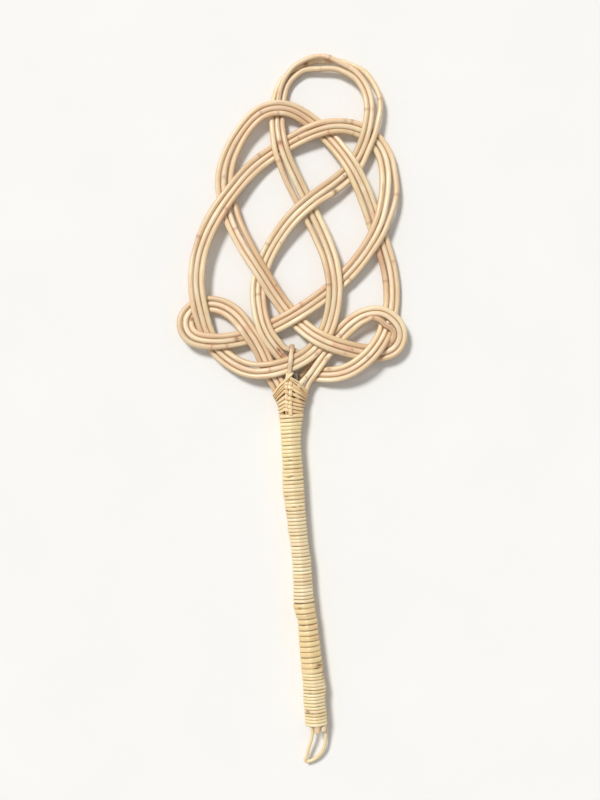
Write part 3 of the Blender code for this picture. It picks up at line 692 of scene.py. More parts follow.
def build_piece(name: str, grid: Array, values: dict[str, Array], material: bpy.types.Material,
                *nodes: str) -> None:
    """Build a tube from a grid of points, dress it, let it ride on the root body, and hide its solids.

    The last column joins the first, and each end is closed by a fan round the middle of its
    ring, so that the faces point outwards where the columns run against the clock seen from the
    far end.

    Args:
        name: the piece's name.
        grid: points as rows, columns and coordinates.
        values: numbers or vectors on the grid's points, by attribute name.
        material: its finish.
        nodes: the solids that it stands for, which are hidden.
    """
    rows, columns = grid.shape[:2]
    number = np.arange(rows * columns).reshape(rows, columns)
    ring = np.column_stack([number, number[:, 0]])
    quads = np.stack([ring[:-1, :-1], ring[:-1, 1:], ring[1:, 1:], ring[1:, :-1]], axis=-1)
    faces = quads.reshape(-1, 4).tolist()
    for pole, end in ((number.size, ring[0, ::-1]), (number.size + 1, ring[-1])):
        faces += [(pole, a, b) for a, b in zip(end.tolist(), end[1:].tolist())]
    mesh = bpy.data.meshes.new(name)
    mesh.from_pydata(with_poles(grid).tolist(), [], faces)
    mesh.shade_smooth()
    mesh.materials.append(material)
    for key, value in values.items():
        spread = with_poles(value)
        vector = spread.shape[1] == 3
        layer = mesh.attributes.new(key, "FLOAT_VECTOR" if vector else "FLOAT", "POINT")
        layer.data.foreach_set("vector" if vector else "value", spread.astype(np.float32).ravel())
    piece = bpy.data.objects.new(name, mesh)
    bpy.context.scene.collection.objects.link(piece)
    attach(piece, "root")
    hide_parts(*nodes)
    log.info("%s: %d faces", name, len(faces))


Socket = bpy.types.NodeSocket
Colour = tuple[float, float, float, float]
Steps = tuple[int, int, int]


def tint(red: int, green: int, blue: int) -> Colour:
    """Return a shade given in display steps of 0 to 255 as a linear colour.

    Args:
        red: the red step.
        green: the green step.
        blue: the blue step.

    Returns:
        The colour with full opacity.
    """
    parts = [value / 255.0 for value in (red, green, blue)]
    linear = [p / 12.92 if p <= 0.04045 else ((p + 0.055) / 1.055) ** 2.4 for p in parts]
    return (*linear, 1.0)


BLUSH = tint(232, 182, 146)
PALE_SKIN = tint(248, 228, 192)
# The brown of scars, and also of the painted shade on edges, folds and crossings.
SCAR_AND_SHADE_BROWN = tint(126, 80, 46)


@dataclass
class Graph:
    """A node tree, with short calls for the nodes that the finishes are made of."""

    tree: bpy.types.NodeTree

    def feed(self, made: bpy.types.Node, inputs: dict) -> None:
        """Link a node's inputs to sockets or set them to values, by the input's name or number."""
        for key, value in inputs.items():
            if isinstance(value, Socket):
                self.tree.links.new(value, made.inputs[key])
            else:
                made.inputs[key].default_value = value

    def node(self, kind: str, inputs: dict | None = None, **settings: object) -> bpy.types.Node:
        """Add a node, with its settings first and then its inputs linked or set.

        Args:
            kind: the node's type.
            inputs: a socket to link or a value to set, by the input's name or number.
            settings: the node's own properties.

        Returns:
            The node.
        """
        made = self.tree.nodes.new(kind)
        for key, value in settings.items():
            setattr(made, key, value)
        self.feed(made, inputs or {})
        return made

    def mix(self, share: object, low: object, high: object) -> Socket:
        """Mix two colours by a share."""
        return self.node("ShaderNodeMix", {0: share, 6: low, 7: high}, data_type="RGBA").outputs[2]

    def span(self, value: Socket, low: float, high: float, start: float = 0.0, end: float = 1.0) -> Socket:
        """Map a value from low..high to start..end, held at both ends."""
        inputs = {"Value": value, "From Min": low, "From Max": high, "To Min": start, "To Max": end}
        return self.node("ShaderNodeMapRange", inputs, interpolation_type="SMOOTHSTEP").outputs[0]

    def math(self, how: str, first: object, second: object) -> Socket:
        """Return the result of one sum on two values."""
        return self.node("ShaderNodeMath", {0: first, 1: second}, operation=how).outputs[0]

    def times(self, first: object, second: object) -> Socket:
        """Return the product of two values."""
        return self.math("MULTIPLY", first, second)

    def vector(self, first: Socket, second: object, how: str = "MULTIPLY") -> Socket:
        """Return the result of one sum on two vectors, part by part."""
        return self.node("ShaderNodeVectorMath", {0: first, 1: second}, operation=how).outputs[0]

    def noise(self, vector: Socket, scale: object, detail: float = 2.0) -> Socket:
        """Return a noise value at a vector."""
        inputs = {"Vector": vector, "Scale": scale, "Detail": detail}
        return self.node("ShaderNodeTexNoise", inputs).outputs["Fac"]

    def bump(self, height: Socket, distance: float, strength: float) -> Socket:
        """Return the normal of a surface raised by a height."""
        inputs = {"Height": height, "Distance": distance, "Strength": strength}
        return self.node("ShaderNodeBump", inputs).outputs[0]

    def attribute(self, name: str, output: str = "Fac") -> Socket:
        """Read one of the mesh's own attributes, as a value or a vector."""
        return self.node("ShaderNodeAttribute", attribute_name=name).outputs[output]


def start_material(name: str) -> tuple[bpy.types.Material, Graph, bpy.types.Node]:
    """Return a new material, its node tree and its shader.

    Args:
        name: the material's name.

    Returns:
        The material, its node tree and its shader.
    """
    made = bpy.data.materials.new(name)
    made.use_nodes = True
    return made, Graph(made.node_tree), made.node_tree.nodes["Principled BSDF"]


class EffectGroups:
    """The node groups that the finishes share, each built once."""

    fibre_outputs: tuple[str, ...] = ("Streak", "Patch", "Fleck", "Mottle")

    def __init__(self) -> None:
        """Build the groups."""
        self.fibre = self._fibre()
        self.patina_and_shade = self._patina_and_shade()

    @staticmethod
    def _start(name: str, inputs: dict[str, object], outputs: tuple[str, ...],
               kind: str) -> tuple[Graph, dict[str, Socket], bpy.types.Node]:
        """Make an empty group with its sockets.

        Args:
            name: the group's name.
            inputs: each input's default by name: a number, a colour, or None for a vector.
            outputs: the outputs' names.
            kind: the outputs' socket type.

        Returns:
            The graph, the group's inputs by name, and its output node.
        """
        tree = bpy.data.node_groups.new(name, "ShaderNodeTree")
        kinds = {float: "NodeSocketFloat", tuple: "NodeSocketColor", type(None): "NodeSocketVector"}
        for key, value in inputs.items():
            socket = tree.interface.new_socket(key, in_out="INPUT", socket_type=kinds[type(value)])
            if value is not None:
                socket.default_value = value
        for key in outputs:
            tree.interface.new_socket(key, in_out="OUTPUT", socket_type=kind)
        graph = Graph(tree)
        given = graph.node("NodeGroupInput")
        return graph, {key: given.outputs[key] for key in inputs}, graph.node("NodeGroupOutput")

    def _fibre(self) -> bpy.types.NodeTree:
        """Fine fibres that run along the grain, and broad patches drawn out the same way.

        The grain vector holds the place round the cane in its first two parts and the place
        along it in the third, which is shrunk so that the noise stretches along the cane.
        """
        inputs = {"Grain": None, "Fineness": 2600.0, "Patches": 330.0}
        graph, given, out = self._start("rattan_fibre", inputs, self.fibre_outputs, "NodeSocketFloat")
        grain, fineness, patches = given.values()
        drawn = graph.noise(graph.vector(grain, (1.0, 1.0, 0.014)), fineness, 3.0)
        broad = graph.vector(grain, (1.0, 1.0, 0.12))
        short = graph.noise(graph.vector(grain, (1.0, 1.0, 0.09)), graph.times(fineness, 0.42), 1.0)
        moved = graph.noise(graph.vector(broad, (0.7, 0.3, 0.9), "ADD"), graph.times(patches, 1.9))
        graph.feed(out, {
            "Streak": graph.span(drawn, 0.3, 0.7),
            "Patch": graph.span(graph.noise(broad, patches, 3.0), 0.32, 0.68),
            "Fleck": graph.span(short, 0.66, 0.78),
            "Mottle": graph.span(moved, 0.50, 0.74),
        })
        return graph.tree

    def _patina_and_shade(self) -> bpy.types.NodeTree:
        """Marks of growth and use over a colour: pink and pale skin and brown scars, with the painted
        shade of edges, folds and crossings mixed in the same brown.
        """
        inputs = {"Colour": (0.75, 0.51, 0.26, 1.0), "Blush": 0.0, "Pale": 0.0, "Scar_and_shade": 0.0, "Streak": 0.0}
        graph, given, out = self._start("rattan_patina_and_shade", inputs, ("Colour",), "NodeSocketColor")
        ragged = graph.span(given["Streak"], 0.0, 1.0, 0.75, 1.25)
        shade = given["Colour"]
        for key, colour in (("Blush", BLUSH), ("Pale", PALE_SKIN), ("Scar_and_shade", SCAR_AND_SHADE_BROWN)):
            shade = graph.mix(graph.times(given[key], ragged), shade, colour)
        graph.feed(out, {"Colour": shade})
        return graph.tree


@dataclass(frozen=True)
class RattanSkin:
    """The skin of a cane or of a strip split from one.

    light, middle and deep are its colours from pale to dark fibre in display steps, deep being
    also the colour of the painted shade that the tone attribute mixes in, and sheen_share is its
    coat. The other shares say how strongly each effect shows, and relief is the height of its fibres.
    """

    name: str
    light: Steps
    middle: Steps
    deep: Steps
    roughness: float = 0.40
    rougher: tuple[float, float] = (-0.06, 0.08)
    scar_roughness: float = 0.3
    sheen_share: float = 0.30
    sheen_roughness: float = 0.32
    fineness: float = 2600.0
    patches: float = 330.0
    mottle_share: float = 0.60
    streak_share: float = 0.40
    fleck_share: float = 0.35
    fleck_depth: float = -0.6
    relief: float = 0.00005
    relief_share: float = 0.6

    def material(self, groups: EffectGroups) -> bpy.types.Material:
        """Build the material.

        Args:
            groups: the shared node groups.

        Returns:
            The material.
        """
        made, graph, shader = start_material(self.name)
        light, middle, deep = (tint(*steps) for steps in (self.light, self.middle, self.deep))
        grain = graph.attribute("grain", "Vector")
        given = {"Grain": grain, "Fineness": self.fineness, "Patches": self.patches}
        fibre = graph.node("ShaderNodeGroup", given, node_tree=groups.fibre)
        streak, patch, fleck, mottle = (fibre.outputs[key] for key in groups.fibre_outputs)
        shade = graph.mix(patch, middle, light)
        shade = graph.mix(graph.times(mottle, self.mottle_share), shade, BLUSH)
        shade = graph.mix(graph.times(streak, self.streak_share), shade, deep)
        shade = graph.mix(graph.times(fleck, self.fleck_share), shade, SCAR_AND_SHADE_BROWN)
        # The tone attribute darkens toward deep: the skin's own tone, plus painted shade on edges and
        # where strands pass under.
        shade = graph.mix(graph.attribute("tone"), shade, deep)
        marks_and_shade_masks = {key: graph.attribute(key.lower()) for key in ("Blush", "Pale", "Scar_and_shade")}
        patina_and_shade = graph.node("ShaderNodeGroup", {"Colour": shade, "Streak": streak, **marks_and_shade_masks},
                            node_tree=groups.patina_and_shade)
        rough = graph.span(streak, 0.0, 1.0, *(self.roughness + more for more in self.rougher))
        height = graph.math("ADD", streak, graph.times(fleck, self.fleck_depth))
        graph.feed(shader, {
            "Base Color": patina_and_shade.outputs[0],
            "Roughness": graph.math("ADD", rough, graph.times(marks_and_shade_masks["Scar_and_shade"], self.scar_roughness)),
            "Coat Weight": self.sheen_share,
            "Coat Roughness": self.sheen_roughness,
            "Normal": graph.bump(height, self.relief, self.relief_share),
        })
        return made


@dataclass(frozen=True)
class Pith:
    """The bare end grain and grey pith of the core, its colours in display steps."""

    name: str = "bare_pith"
    dark: Steps = (96, 84, 70)
    pale: Steps = (178, 164, 142)
    roughness: float = 0.85
    pores: float = 1500.0
    stretch: float = 0.15
    relief: float = 0.0003
    relief_share: float = 0.8

    def material(self) -> bpy.types.Material:
        """Build the material: dark pores in grey wood, drawn out along the stick."""
        made, graph, shader = start_material(self.name)
        grain = graph.vector(graph.attribute("grain", "Vector"), (1.0, 1.0, self.stretch))
        pores = graph.span(graph.noise(grain, self.pores, 3.0), 0.35, 0.7)
        graph.feed(shader, {
            "Base Color": graph.mix(pores, tint(*self.dark), tint(*self.pale)),
            "Roughness": self.roughness,
            "Normal": graph.bump(pores, self.relief, self.relief_share),
        })
        return made


UP = np.array([0.0, 0.0, 1.0])


def sweep(line: Array, radius: Array, sides: int, flat: Array | None = None) -> Array:
    """Carry a round section along a line that is never upright.

    Each ring lies square to the line. Its first axis is level and to the right of the way
    ahead, its second is at right angles to that and to the line, so the section never turns.

    Args:
        line: the middle line's points.
        radius: the section's radius at each point, or at each point and angle.
        sides: the number of points round the section.
        flat: the section's height against its width at each point.

    Returns:
        The grid of points, row by row along the line.
    """
    ahead = unit(np.gradient(line, axis=0))
    aside = unit(np.cross(ahead, UP))
    below = np.cross(ahead, aside)
    angle = round_angles(sides)
    radius = radius[:, None] if radius.ndim == 1 else radius
    tall = radius if flat is None else radius * flat[:, None]
    grid = line[:, None, :] + aside[:, None, :] * (radius * np.cos(angle))[..., None]
    return grid + below[:, None, :] * (tall * np.sin(angle))[..., None]


# The rows of a cut end from its middle outwards: how far each stands out, as a share of the
# rim that is worn back, and its share of the full radius.
RIM_SHARES = ((1.0, 0.04), (0.98, 0.55), (0.8, 0.9))


def close_ends(line: Array, rim: float = 0.0004) -> tuple[Array, Array]:
    """Add rows at both ends of a line for a cut end with a worn rim.

    Args:
        line: the middle line's points.
        rim: how far the rim is worn back.

    Returns:
        The longer line, and each row's share of the full radius.
    """
    out, shares = np.asarray(RIM_SHARES).T
    head = line[0] + unit(line[0] - line[1]) * (out * rim)[:, None]
    tail = line[-1] + unit(line[-1] - line[-2]) * (out * rim)[::-1, None]
    return np.vstack([head, line, tail]), np.r_[shares, np.ones(len(line)), shares[::-1]]


def with_ends(values: Array) -> Array:
    """Return values with the first and last repeated for the rows of the cut ends."""
    return np.pad(values, len(RIM_SHARES), mode="edge")


def tube_grain(radius: Array, travel: Array, sides: int) -> Array:
    """Return a tube's grain vectors: the place round it, and the place along it.

    Args:
        radius: the tube's radius at each row.
        travel: each row's place along it.
        sides: the number of points round it.

    Returns:
        The vectors as rows, columns and coordinates.
    """
    angle = round_angles(sides)
    along = np.repeat(travel[:, None], sides, axis=1)
    return np.stack([radius[:, None] * np.cos(angle), radius[:, None] * np.sin(angle), along], axis=-1)


@dataclass(frozen=True)
class ToneAndShade:
    """How dark a skin is: its tone, which wavers along it, and painted shade that darkens both its edges,
    where it meets its neighbours.

    edge_from is how far out of the middle the edges start, as a share of the half width.
    """

    tone: float
    tone_waver: float
    wavelength: float
    edge_from: float
    edge_shade_tone: float
    edge_shade_brown: float

    def over(self, across: Array, travel: Array, seed: int) -> tuple[Array, Array]:
        """Return the tone and the scar brown at each row and column, both darker on the edges with painted
        shade.

        Args:
            across: each column's place, from -1 at one edge to 1 at the other.
            travel: how far along each row lies.
            seed: the number that the tone hangs on.

        Returns:
            The tone and the scar.
        """
        tone = held(self.tone + self.tone_waver * waver(travel, self.wavelength, seed))
        # Painted shade: both edges darken, as where a cane or strip meets its neighbour.
        edge = held((np.abs(across) - self.edge_from) / (1.0 - self.edge_from))
        return tone[:, None] + self.edge_shade_tone * edge, np.tile(self.edge_shade_brown * edge ** 2, (len(travel), 1))


# Tone of the canes and the strips; the last three numbers set the painted shade on their edges.
CANE_TONE_AND_SHADE = ToneAndShade(0.13, 0.32, 0.07, 0.82, 0.55, 0.30)
STRIP_TONE_AND_SHADE = ToneAndShade(0.10, 0.20, 0.05, 0.66, 0.28, 0.10)

# The pink in a strip's skin: its mean, how far it strays, and over what length.
STRIP_WARM = (-0.12, 0.3, 0.03)


class MarkKind(Enum):
    """A mark that growth or wear left on a cane."""

    JOINT = "ring where a leaf grew"
    BLUSH = "pink patch"
    PALE = "pale patch"
    STAIN = "brown patch"
    DOT = "dark spot"
    SPLIT = "dark line along the fibres"
    FRAY = "rough brown spot with lifted fibres"
    TAN = "stretch of darker skin"


@dataclass(frozen=True)
class MarkLook:
    """How a kind of mark reads: its reach along and round the cane, its colours and its relief."""

    along: float
    around: float
    blush: float = 0.0
    pale: float = 0.0
    scar_and_shade: float = 0.0
    rise: float = 0.0
    rough: float = 0.0


MARK_LOOKS = {
    MarkKind.JOINT: MarkLook(0.0014, 0.0200, blush=0.40, scar_and_shade=0.42, rise=0.00022),
    MarkKind.BLUSH: MarkLook(0.0040, 0.0030, blush=0.75),
    MarkKind.PALE: MarkLook(0.0038, 0.0028, pale=0.85),
    MarkKind.STAIN: MarkLook(0.0022, 0.0018, scar_and_shade=0.55),
    MarkKind.DOT: MarkLook(0.0008, 0.0008, scar_and_shade=0.95, rise=-0.0001),
    MarkKind.TAN: MarkLook(0.0130, 0.0200, blush=0.42, scar_and_shade=0.20),
    MarkKind.SPLIT: MarkLook(0.0045, 0.0004, scar_and_shade=0.95, rise=-0.0002),
    MarkKind.FRAY: MarkLook(0.0024, 0.0028, blush=0.50, scar_and_shade=0.85, rise=0.00035, rough=0.0004),
}


@dataclass(frozen=True)
class Mark:
    """A mark at a place of the head, as shares of its width and length, on the cane on top."""

    across_share: float
    along_share: float
    strength: float
    kind: MarkKind


MARKS = tuple(Mark(*row, kind) for kind, rows in {
    MarkKind.JOINT: (
        (0.164, 0.987, 0.9), (0.125, 0.953, 0.5), (0.324, 0.825, 0.9), (0.379, 0.86, 0.8),
        (-0.059, 0.819, 1.0), (-0.134, 0.816, 0.9), (0.16, 0.756, 0.8), (0.262, 0.791, 0.9),
        (0.266, 0.757, 0.6), (-0.059, 0.666, 0.8), (-0.139, 0.685, 1.0), (-0.282, 0.518, 1.0),
        (-0.235, 0.461, 0.9), (-0.405, 0.432, 0.9), (0.455, 0.564, 0.9), (-0.104, 0.412, 0.8),
        (-0.147, 0.255, 0.9), (0.042, 0.222, 0.9), (-0.281, 0.089, 0.9), (-0.347, 0.086, 0.8),
        (-0.092, 0.015, 0.8), (0.355, 0.181, 0.9), (0.431, 0.108, 0.8), (0.407, 0.297, 0.9),
        (0.16, 0.283, 1.0), (0.256, 0.3, 0.9), (0.435, 0.358, 0.8), (0.327, 0.474, 0.7),
        (0.202, 0.135, 0.7),
    ),
    MarkKind.BLUSH: (
        (0.351, 0.765, 1.0), (0.156, 0.756, 1.0), (-0.059, 0.712, 1.0), (-0.303, 0.201, 1.0),
        (0.26, 0.178, 1.0), (0.427, 0.156, 0.5), (-0.046, 0.076, 0.7), (-0.029, 0.066, 0.8),
        (-0.041, 0.084, 0.5), (-0.304, 0.492, 0.9), (-0.128, 0.802, 0.5), (0.349, 0.501, 0.8),
        (-0.195, 0.144, 0.8), (0.03, 0.189, 0.7), (0.249, 0.087, 0.8), (0.132, 0.08, 0.9),
        (0.085, 0.034, 0.8), (0.18, 0.094, 0.9), (-0.351, 0.085, 0.4),
    ),
    MarkKind.PALE: (
        (-0.051, 0.819, 0.9), (0.288, 0.771, 0.8), (0.313, 0.583, 1.0), (-0.447, 0.193, 1.0),
        (-0.223, 0.149, 1.0), (0.164, 0.103, 1.0), (0.272, 0.181, 0.9),
    ),
    MarkKind.STAIN: (
        (0.339, 0.825, 0.6), (0.235, 0.796, 0.7), (-0.289, 0.619, 0.7), (0.104, 0.071, 0.9),
        (0.151, 0.054, 0.8), (0.164, 0.022, 0.8), (0.334, 0.058, 0.7), (0.232, 0.077, 0.5),
    ),
    MarkKind.DOT: (
        (0.033, 0.735, 0.9), (0.223, 0.623, 1.0), (-0.063, 0.284, 1.0), (-0.047, 0.414, 0.9),
        (0.064, -0.002, 1.0), (0.26, 0.081, 0.9),
    ),
    MarkKind.TAN: (
        (0.415, 0.163, 0.5), (0.355, 0.181, 0.6), (0.388, 0.344, 0.9), (0.377, 0.375, 0.8),
        (0.408, 0.269, 0.5), (0.158, 0.31, 0.8), (-0.056, 0.269, 0.8), (-0.12, 0.229, 0.8),
        (-0.108, 0.186, 0.6), (-0.412, 0.402, 0.7), (0.052, 0.792, 0.6), (0.024, 0.82, 0.5),
        (-0.171, 0.111, 0.6), (-0.375, 0.13, 0.4), (0.297, 0.102, 0.4),
    ),
    MarkKind.SPLIT: (
        (-0.051, 0.864, 0.8), (0.402, 0.583, 1.0), (-0.218, 0.059, 0.8), (0.406, 0.17, 0.7),
        (0.431, 0.147, 0.7), (-0.0455, 0.0724, 0.7), (-0.0585, 0.0805, 1.0),
    ),
    MarkKind.FRAY: (
        (0.067, 0.969, 1.0), (-0.059, 0.721, 0.9), (0.183, 0.578, 1.0), (-0.425, 0.175, 0.9),
        (-0.238, 0.114, 0.9), (-0.058, 0.082, 0.5), (-0.034, 0.071, 0.6),
    ),
}.items() for row in rows)


@dataclass(frozen=True)
class Kink:
    """A place where a cane cracked as it was bent, and stands away from its even line.

    The place is given as shares of the head's width and length, the step from there and its
    reach along the cane in cane thicknesses.
    """

    name: str
    across_share: float
    along_share: float
    step_across: float
    step_along: float
    reach: float


KINKS = (
    Kink("right_outer_cane", 0.408, 0.167, -0.34, -0.40, 1.3),
    Kink("right_outer_cane", 0.352, 0.181, -0.16, 0.22, 0.8),
    Kink("right_outer_cane", 0.436, 0.118, -0.08, 0.02, 1.2),
    Kink("left_outer_cane", -0.428, 0.178, 0.10, 0.12, 0.6),
    Kink("left_outer_cane", 0.111, 0.979, 0.0, 0.30, 1.7),
    Kink("left_outer_cane", -0.492, 0.145, -0.12, 0.0, 0.8),
)


@dataclass
class Run:
    """One cane's middle line in space, with its half width and its height against its width."""

    row: CaneRow
    line: Array
    radius: Array
    flat: Array


class Canes:
    """The six canes: their lines through the weave, their natural unevenness and their marks.

    warm holds the mean of the pink in their skin, how far it strays, over what length, and its
    limit.
    """

    sides: int = 22
    every: int = 2
    long_waver: float = 0.035
    long_wave: float = 0.055
    short_waver: float = 0.014
    short_wave: float = 0.008
    widest: float = 1.13
    apart_share: float = 0.8
    meeting_gap: float = 0.00003
    easing: int = 12
    mark_reach: float = 1.15
    mark_rows: int = 12
    mark_rise: float = 0.001
    warm: tuple[float, float, float, float] = (0.07, 0.26, 0.10, 0.40)
    end_scar: float = 0.25

    def __init__(self, sizes: Sizes, handle: Handle, band: Band, strands: list[Strand],
                 seat: Array) -> None:
        """Work out each cane's line in the model's own place.

        Args:
            sizes: the driving sizes.
            handle: the handle's middle line.
            band: the band's lines in plan.
            strands: the settled strands.
            seat: the step from the drawing's place to the model's.
        """
        self.sizes = sizes
        self.runs = [self._run(k, handle, band, strands[k], seat) for k in range(len(CANES))]

    def _run(self, index: int, handle: Handle, band: Band, strand: Strand, seat: Array) -> Run:
        """Work out one cane: plan from the band, height from the weave, both on fine steps.

        Where the canes lie a little apart, each is flattened so that it nearly meets the next.

        Args:
            index: the cane's number.
            handle: the handle's middle line.
            band: the band's lines in plan.
            strand: its settled strand.
            seat: the step from the drawing's place to the model's.

        Returns:
            The cane's line and girth.
        """
        row, place, spacing = CANES[index], index % 3, self.sizes.cane_spacing
        plan = band.canes[place]
        travel = lengths_along(plan)
        left = row.side is Side.LEFT
        kept = band.number < row.cut_place if left else band.number > row.cut_place
        kept &= plan[:, 1] > handle.along(row.end_share)
        kept = np.nonzero(kept)[0][::self.every]
        stations = np.interp(strand.number, band.number, travel)
        height = smooth_values(travel[kept], stations, strand.height)
        line = np.column_stack([self._bent(row, plan[kept]), height]) + seat
        along = travel[kept] - travel[kept[0]]
        radius = self.sizes.cane_radius * (
            1.0 + self.long_waver * waver(along, self.long_wave, 11 + index)
            + self.short_waver * waver(along, self.short_wave, 31 + index))
        beside = np.abs(band.offsets[kept] - band.offsets[kept, place, None])
        gap = np.delete(beside, place, axis=1).min(axis=1) * spacing
        near = gap > self.apart_share * spacing
        most = gap / 2.0 - self.meeting_gap
        radius = np.where(near, np.minimum(radius, most), radius)
        wide = np.where(near, np.clip(most, radius, self.widest * radius), radius)
        wide = np.maximum(softened(wide, self.easing), radius)
        return Run(row, line, wide, radius / wide)

    def _bent(self, row: CaneRow, plan: Array) -> Array:
        """Return a cane's line in plan with its kinks.

        Args:
            row: the cane's row.
            plan: its line in plan.

        Returns:
            The bent line.
        """
        bent = plan.copy()
        for kink in KINKS:
            if kink.name == row.name:
                spot = self.sizes.spot(kink.across_share, kink.along_share)
                away = np.linalg.norm(plan - spot, axis=1) / (kink.reach * self.sizes.cane_diameter)
                step = np.array([kink.step_across, kink.step_along]) * self.sizes.cane_diameter
                bent += np.exp(-away ** 2)[:, None] * step
        return bent

    def _host(self, mark: Mark, seat: Array) -> tuple[int, int] | None:
        """Return the run and the row of it that lies on top at a mark, or None for no cane.

        Args:
            mark: the mark.
            seat: the step from the drawing's place to the model's.

        Returns:
            The run's number and its row, or None.
        """
        spot = self.sizes.spot(mark.across_share, mark.along_share) + seat[:2]
        best = None
        for index, run in enumerate(self.runs):
            away = np.linalg.norm(run.line[:, :2] - spot, axis=1)
            reach = np.nonzero(away < self.mark_reach * self.sizes.cane_radius)[0]
            if len(reach) == 0:
                continue
            top = reach[np.argmax(run.line[reach, 2])]
            window = reach[np.abs(reach - top) < self.mark_rows]
            row = window[np.argmin(away[window])]
            if best is None or run.line[row, 2] > best[2] + self.mark_rise:
                best = (index, row, run.line[row, 2])
        return best[:2] if best else None

    def build(self, skins: list[bpy.types.Material], seat: Array) -> None:
        """Build every cane with its marks and its finish.

        Args:
            skins: each cane's finish.
            seat: the step from the drawing's place to the model's.
        """
        hosts: dict[int, list[tuple[int, Mark]]] = {}
        for mark in MARKS:
            host = self._host(mark, seat)
            if host is None:
                log.warning("no cane at mark %s", mark)
            else:
                hosts.setdefault(host[0], []).append((host[1], mark))
        for index, run in enumerate(self.runs):
            self._build_run(index, run, hosts.get(index, []), skins[index])

    def _build_run(self, index: int, run: Run, marks: list[tuple[int, Mark]],
                   skin: bpy.types.Material) -> None:
        """Build one cane.

        A mark fades as a bell curve along the cane and round it from the side seen from above.

        Args:
            index: the cane's number.
            run: its line.
            marks: the marks on it, each with its row.
            skin: its finish.
        """
        line, full = close_ends(run.line)
        travel = lengths_along(line)
        radius = with_ends(run.radius) * full
        angle = round_angles(self.sides)
        shape = (len(line), self.sides)
        rough = np.random.default_rng(71 + index).normal(0.0, 1.0, shape)
        values = {key: np.zeros(shape) for key in ("blush", "pale", "scar_and_shade")}
        relief = np.zeros(shape)
        from_top = ((angle - 0.5 * math.pi) % math.tau - math.pi) * self.sizes.cane_radius
        for row, mark in marks:
            look = MARK_LOOKS[mark.kind]
            along = (travel - travel[row + len(RIM_SHARES)])[:, None] / look.along
            weight = np.exp(-along ** 2 - (from_top / look.around) ** 2) * mark.strength
            for key in values:
                values[key] += getattr(look, key) * weight
            relief += (look.rise + look.rough * rough) * weight
        grid = sweep(line, radius[:, None] + relief * full[:, None], self.sides, with_ends(run.flat))
        # The tone wavers along the cane, and painted shade darkens its two sides where it meets its
        # neighbours.
        tone, scar_and_shade = CANE_TONE_AND_SHADE.over(np.cos(angle), travel, 51 + index)
        mean, most, wavelength, limit = self.warm
        warm = mean + most * waver(travel, wavelength, 411 + index)
        values["blush"] += np.clip(warm, 0.0, limit)[:, None]
        values["scar_and_shade"] += scar_and_shade
        for end in (values["scar_and_shade"][:len(RIM_SHARES)], values["scar_and_shade"][-len(RIM_SHARES):]):
            end += self.end_scar
        values = {key: held(value) for key, value in {**values, "tone": tone}.items()}
        values["grain"] = tube_grain(radius, travel + 3.1 * index, self.sides)
        build_piece(run.row.name + "_skin", grid, values, skin, run.row.name)


CANE_SKINS = (
    RattanSkin("left_outer_skin", (252, 237, 199), (246, 220, 174), (188, 145, 98)),
    RattanSkin("left_middle_skin", (253, 242, 209), (249, 227, 187), (196, 154, 108)),
    RattanSkin("left_inner_skin", (252, 239, 203), (247, 223, 180), (191, 148, 101)),
    RattanSkin("right_outer_skin", (251, 235, 194), (244, 217, 169), (186, 141, 93)),
    RattanSkin("right_middle_skin", (253, 243, 212), (250, 229, 190), (198, 157, 111)),
    RattanSkin("right_inner_skin", (252, 240, 205), (248, 224, 181), (192, 149, 102)),
)

# Fibres that stand up where a cane cracked: the cane's number, then root and tip across and
# along as shares of the head's width and length, and the tip's rise in cane thicknesses.
SPLINTER_SHARES = (
    (3, 0.398, 0.166, 0.4175, 0.1722, 0.2), (3, 0.413, 0.16, 0.431, 0.169, 0.26),
    (3, 0.424, 0.149, 0.44, 0.156, 0.2), (3, 0.418, 0.153, 0.433, 0.1625, 0.16),
    (0, 0.05, 0.964, 0.076, 0.972, 0.3), (0, 0.072, 0.973, 0.056, 0.976, 0.24),
    (0, -0.437, 0.186, -0.424, 0.17, 0.16),
)


class Splinters:
    """The fibres that stand up where a cane cracked as it was bent."""

    sides: int = 8
    points: int = 14
    root_radius: float = 0.00055
    tip_share: float = 0.18
    taper: float = 1.5
    flatness: float = 0.55
    depth_share: float = 0.55
    tone: float = 0.4
    scar_and_shade: float = 0.2
    blush: float = 0.2

    def build(self, canes: Canes, skins: list[bpy.types.Material], seat: Array) -> None:
        """Build each fibre as a thin tapered blade that leaves its cane at a slant.

        Args:
            canes: the canes that the fibres belong to.
            skins: each cane's finish.
            seat: the step from the drawing's place to the model's.
        """
        part = np.linspace(0.0, 1.0, self.points)
        for number, (index, *places, rise) in enumerate(SPLINTER_SHARES):
            run = canes.runs[index]
            root, tip = (canes.sizes.spot(*place) + seat[:2] for place in (places[:2], places[2:]))
            near = np.argmin(np.linalg.norm(run.line[:, :2] - root, axis=1))
            level = run.line[near, 2] + self.depth_share * run.radius[near] * run.flat[near]
            plan = root + (tip - root) * part[:, None]
            level = level + rise * canes.sizes.cane_diameter * part * (2.0 - part)
            line = np.column_stack([plan, level])
            radius = self.root_radius * (1.0 - (1.0 - self.tip_share) * part ** self.taper)
            grid = sweep(line, radius, self.sides, np.full(self.points, self.flatness))
            blank = np.zeros(grid.shape[:2])
            grain = np.stack([blank, blank, blank + (lengths_along(line) + number)[:, None]], axis=-1)
            values = {"grain": grain, "tone": blank + self.tone, "scar_and_shade": blank + self.scar_and_shade,
                      "blush": blank + self.blush, "pale": blank}
            build_piece(f"{run.row.name}_splinter_{number}", grid, values, skins[index], run.row.name)


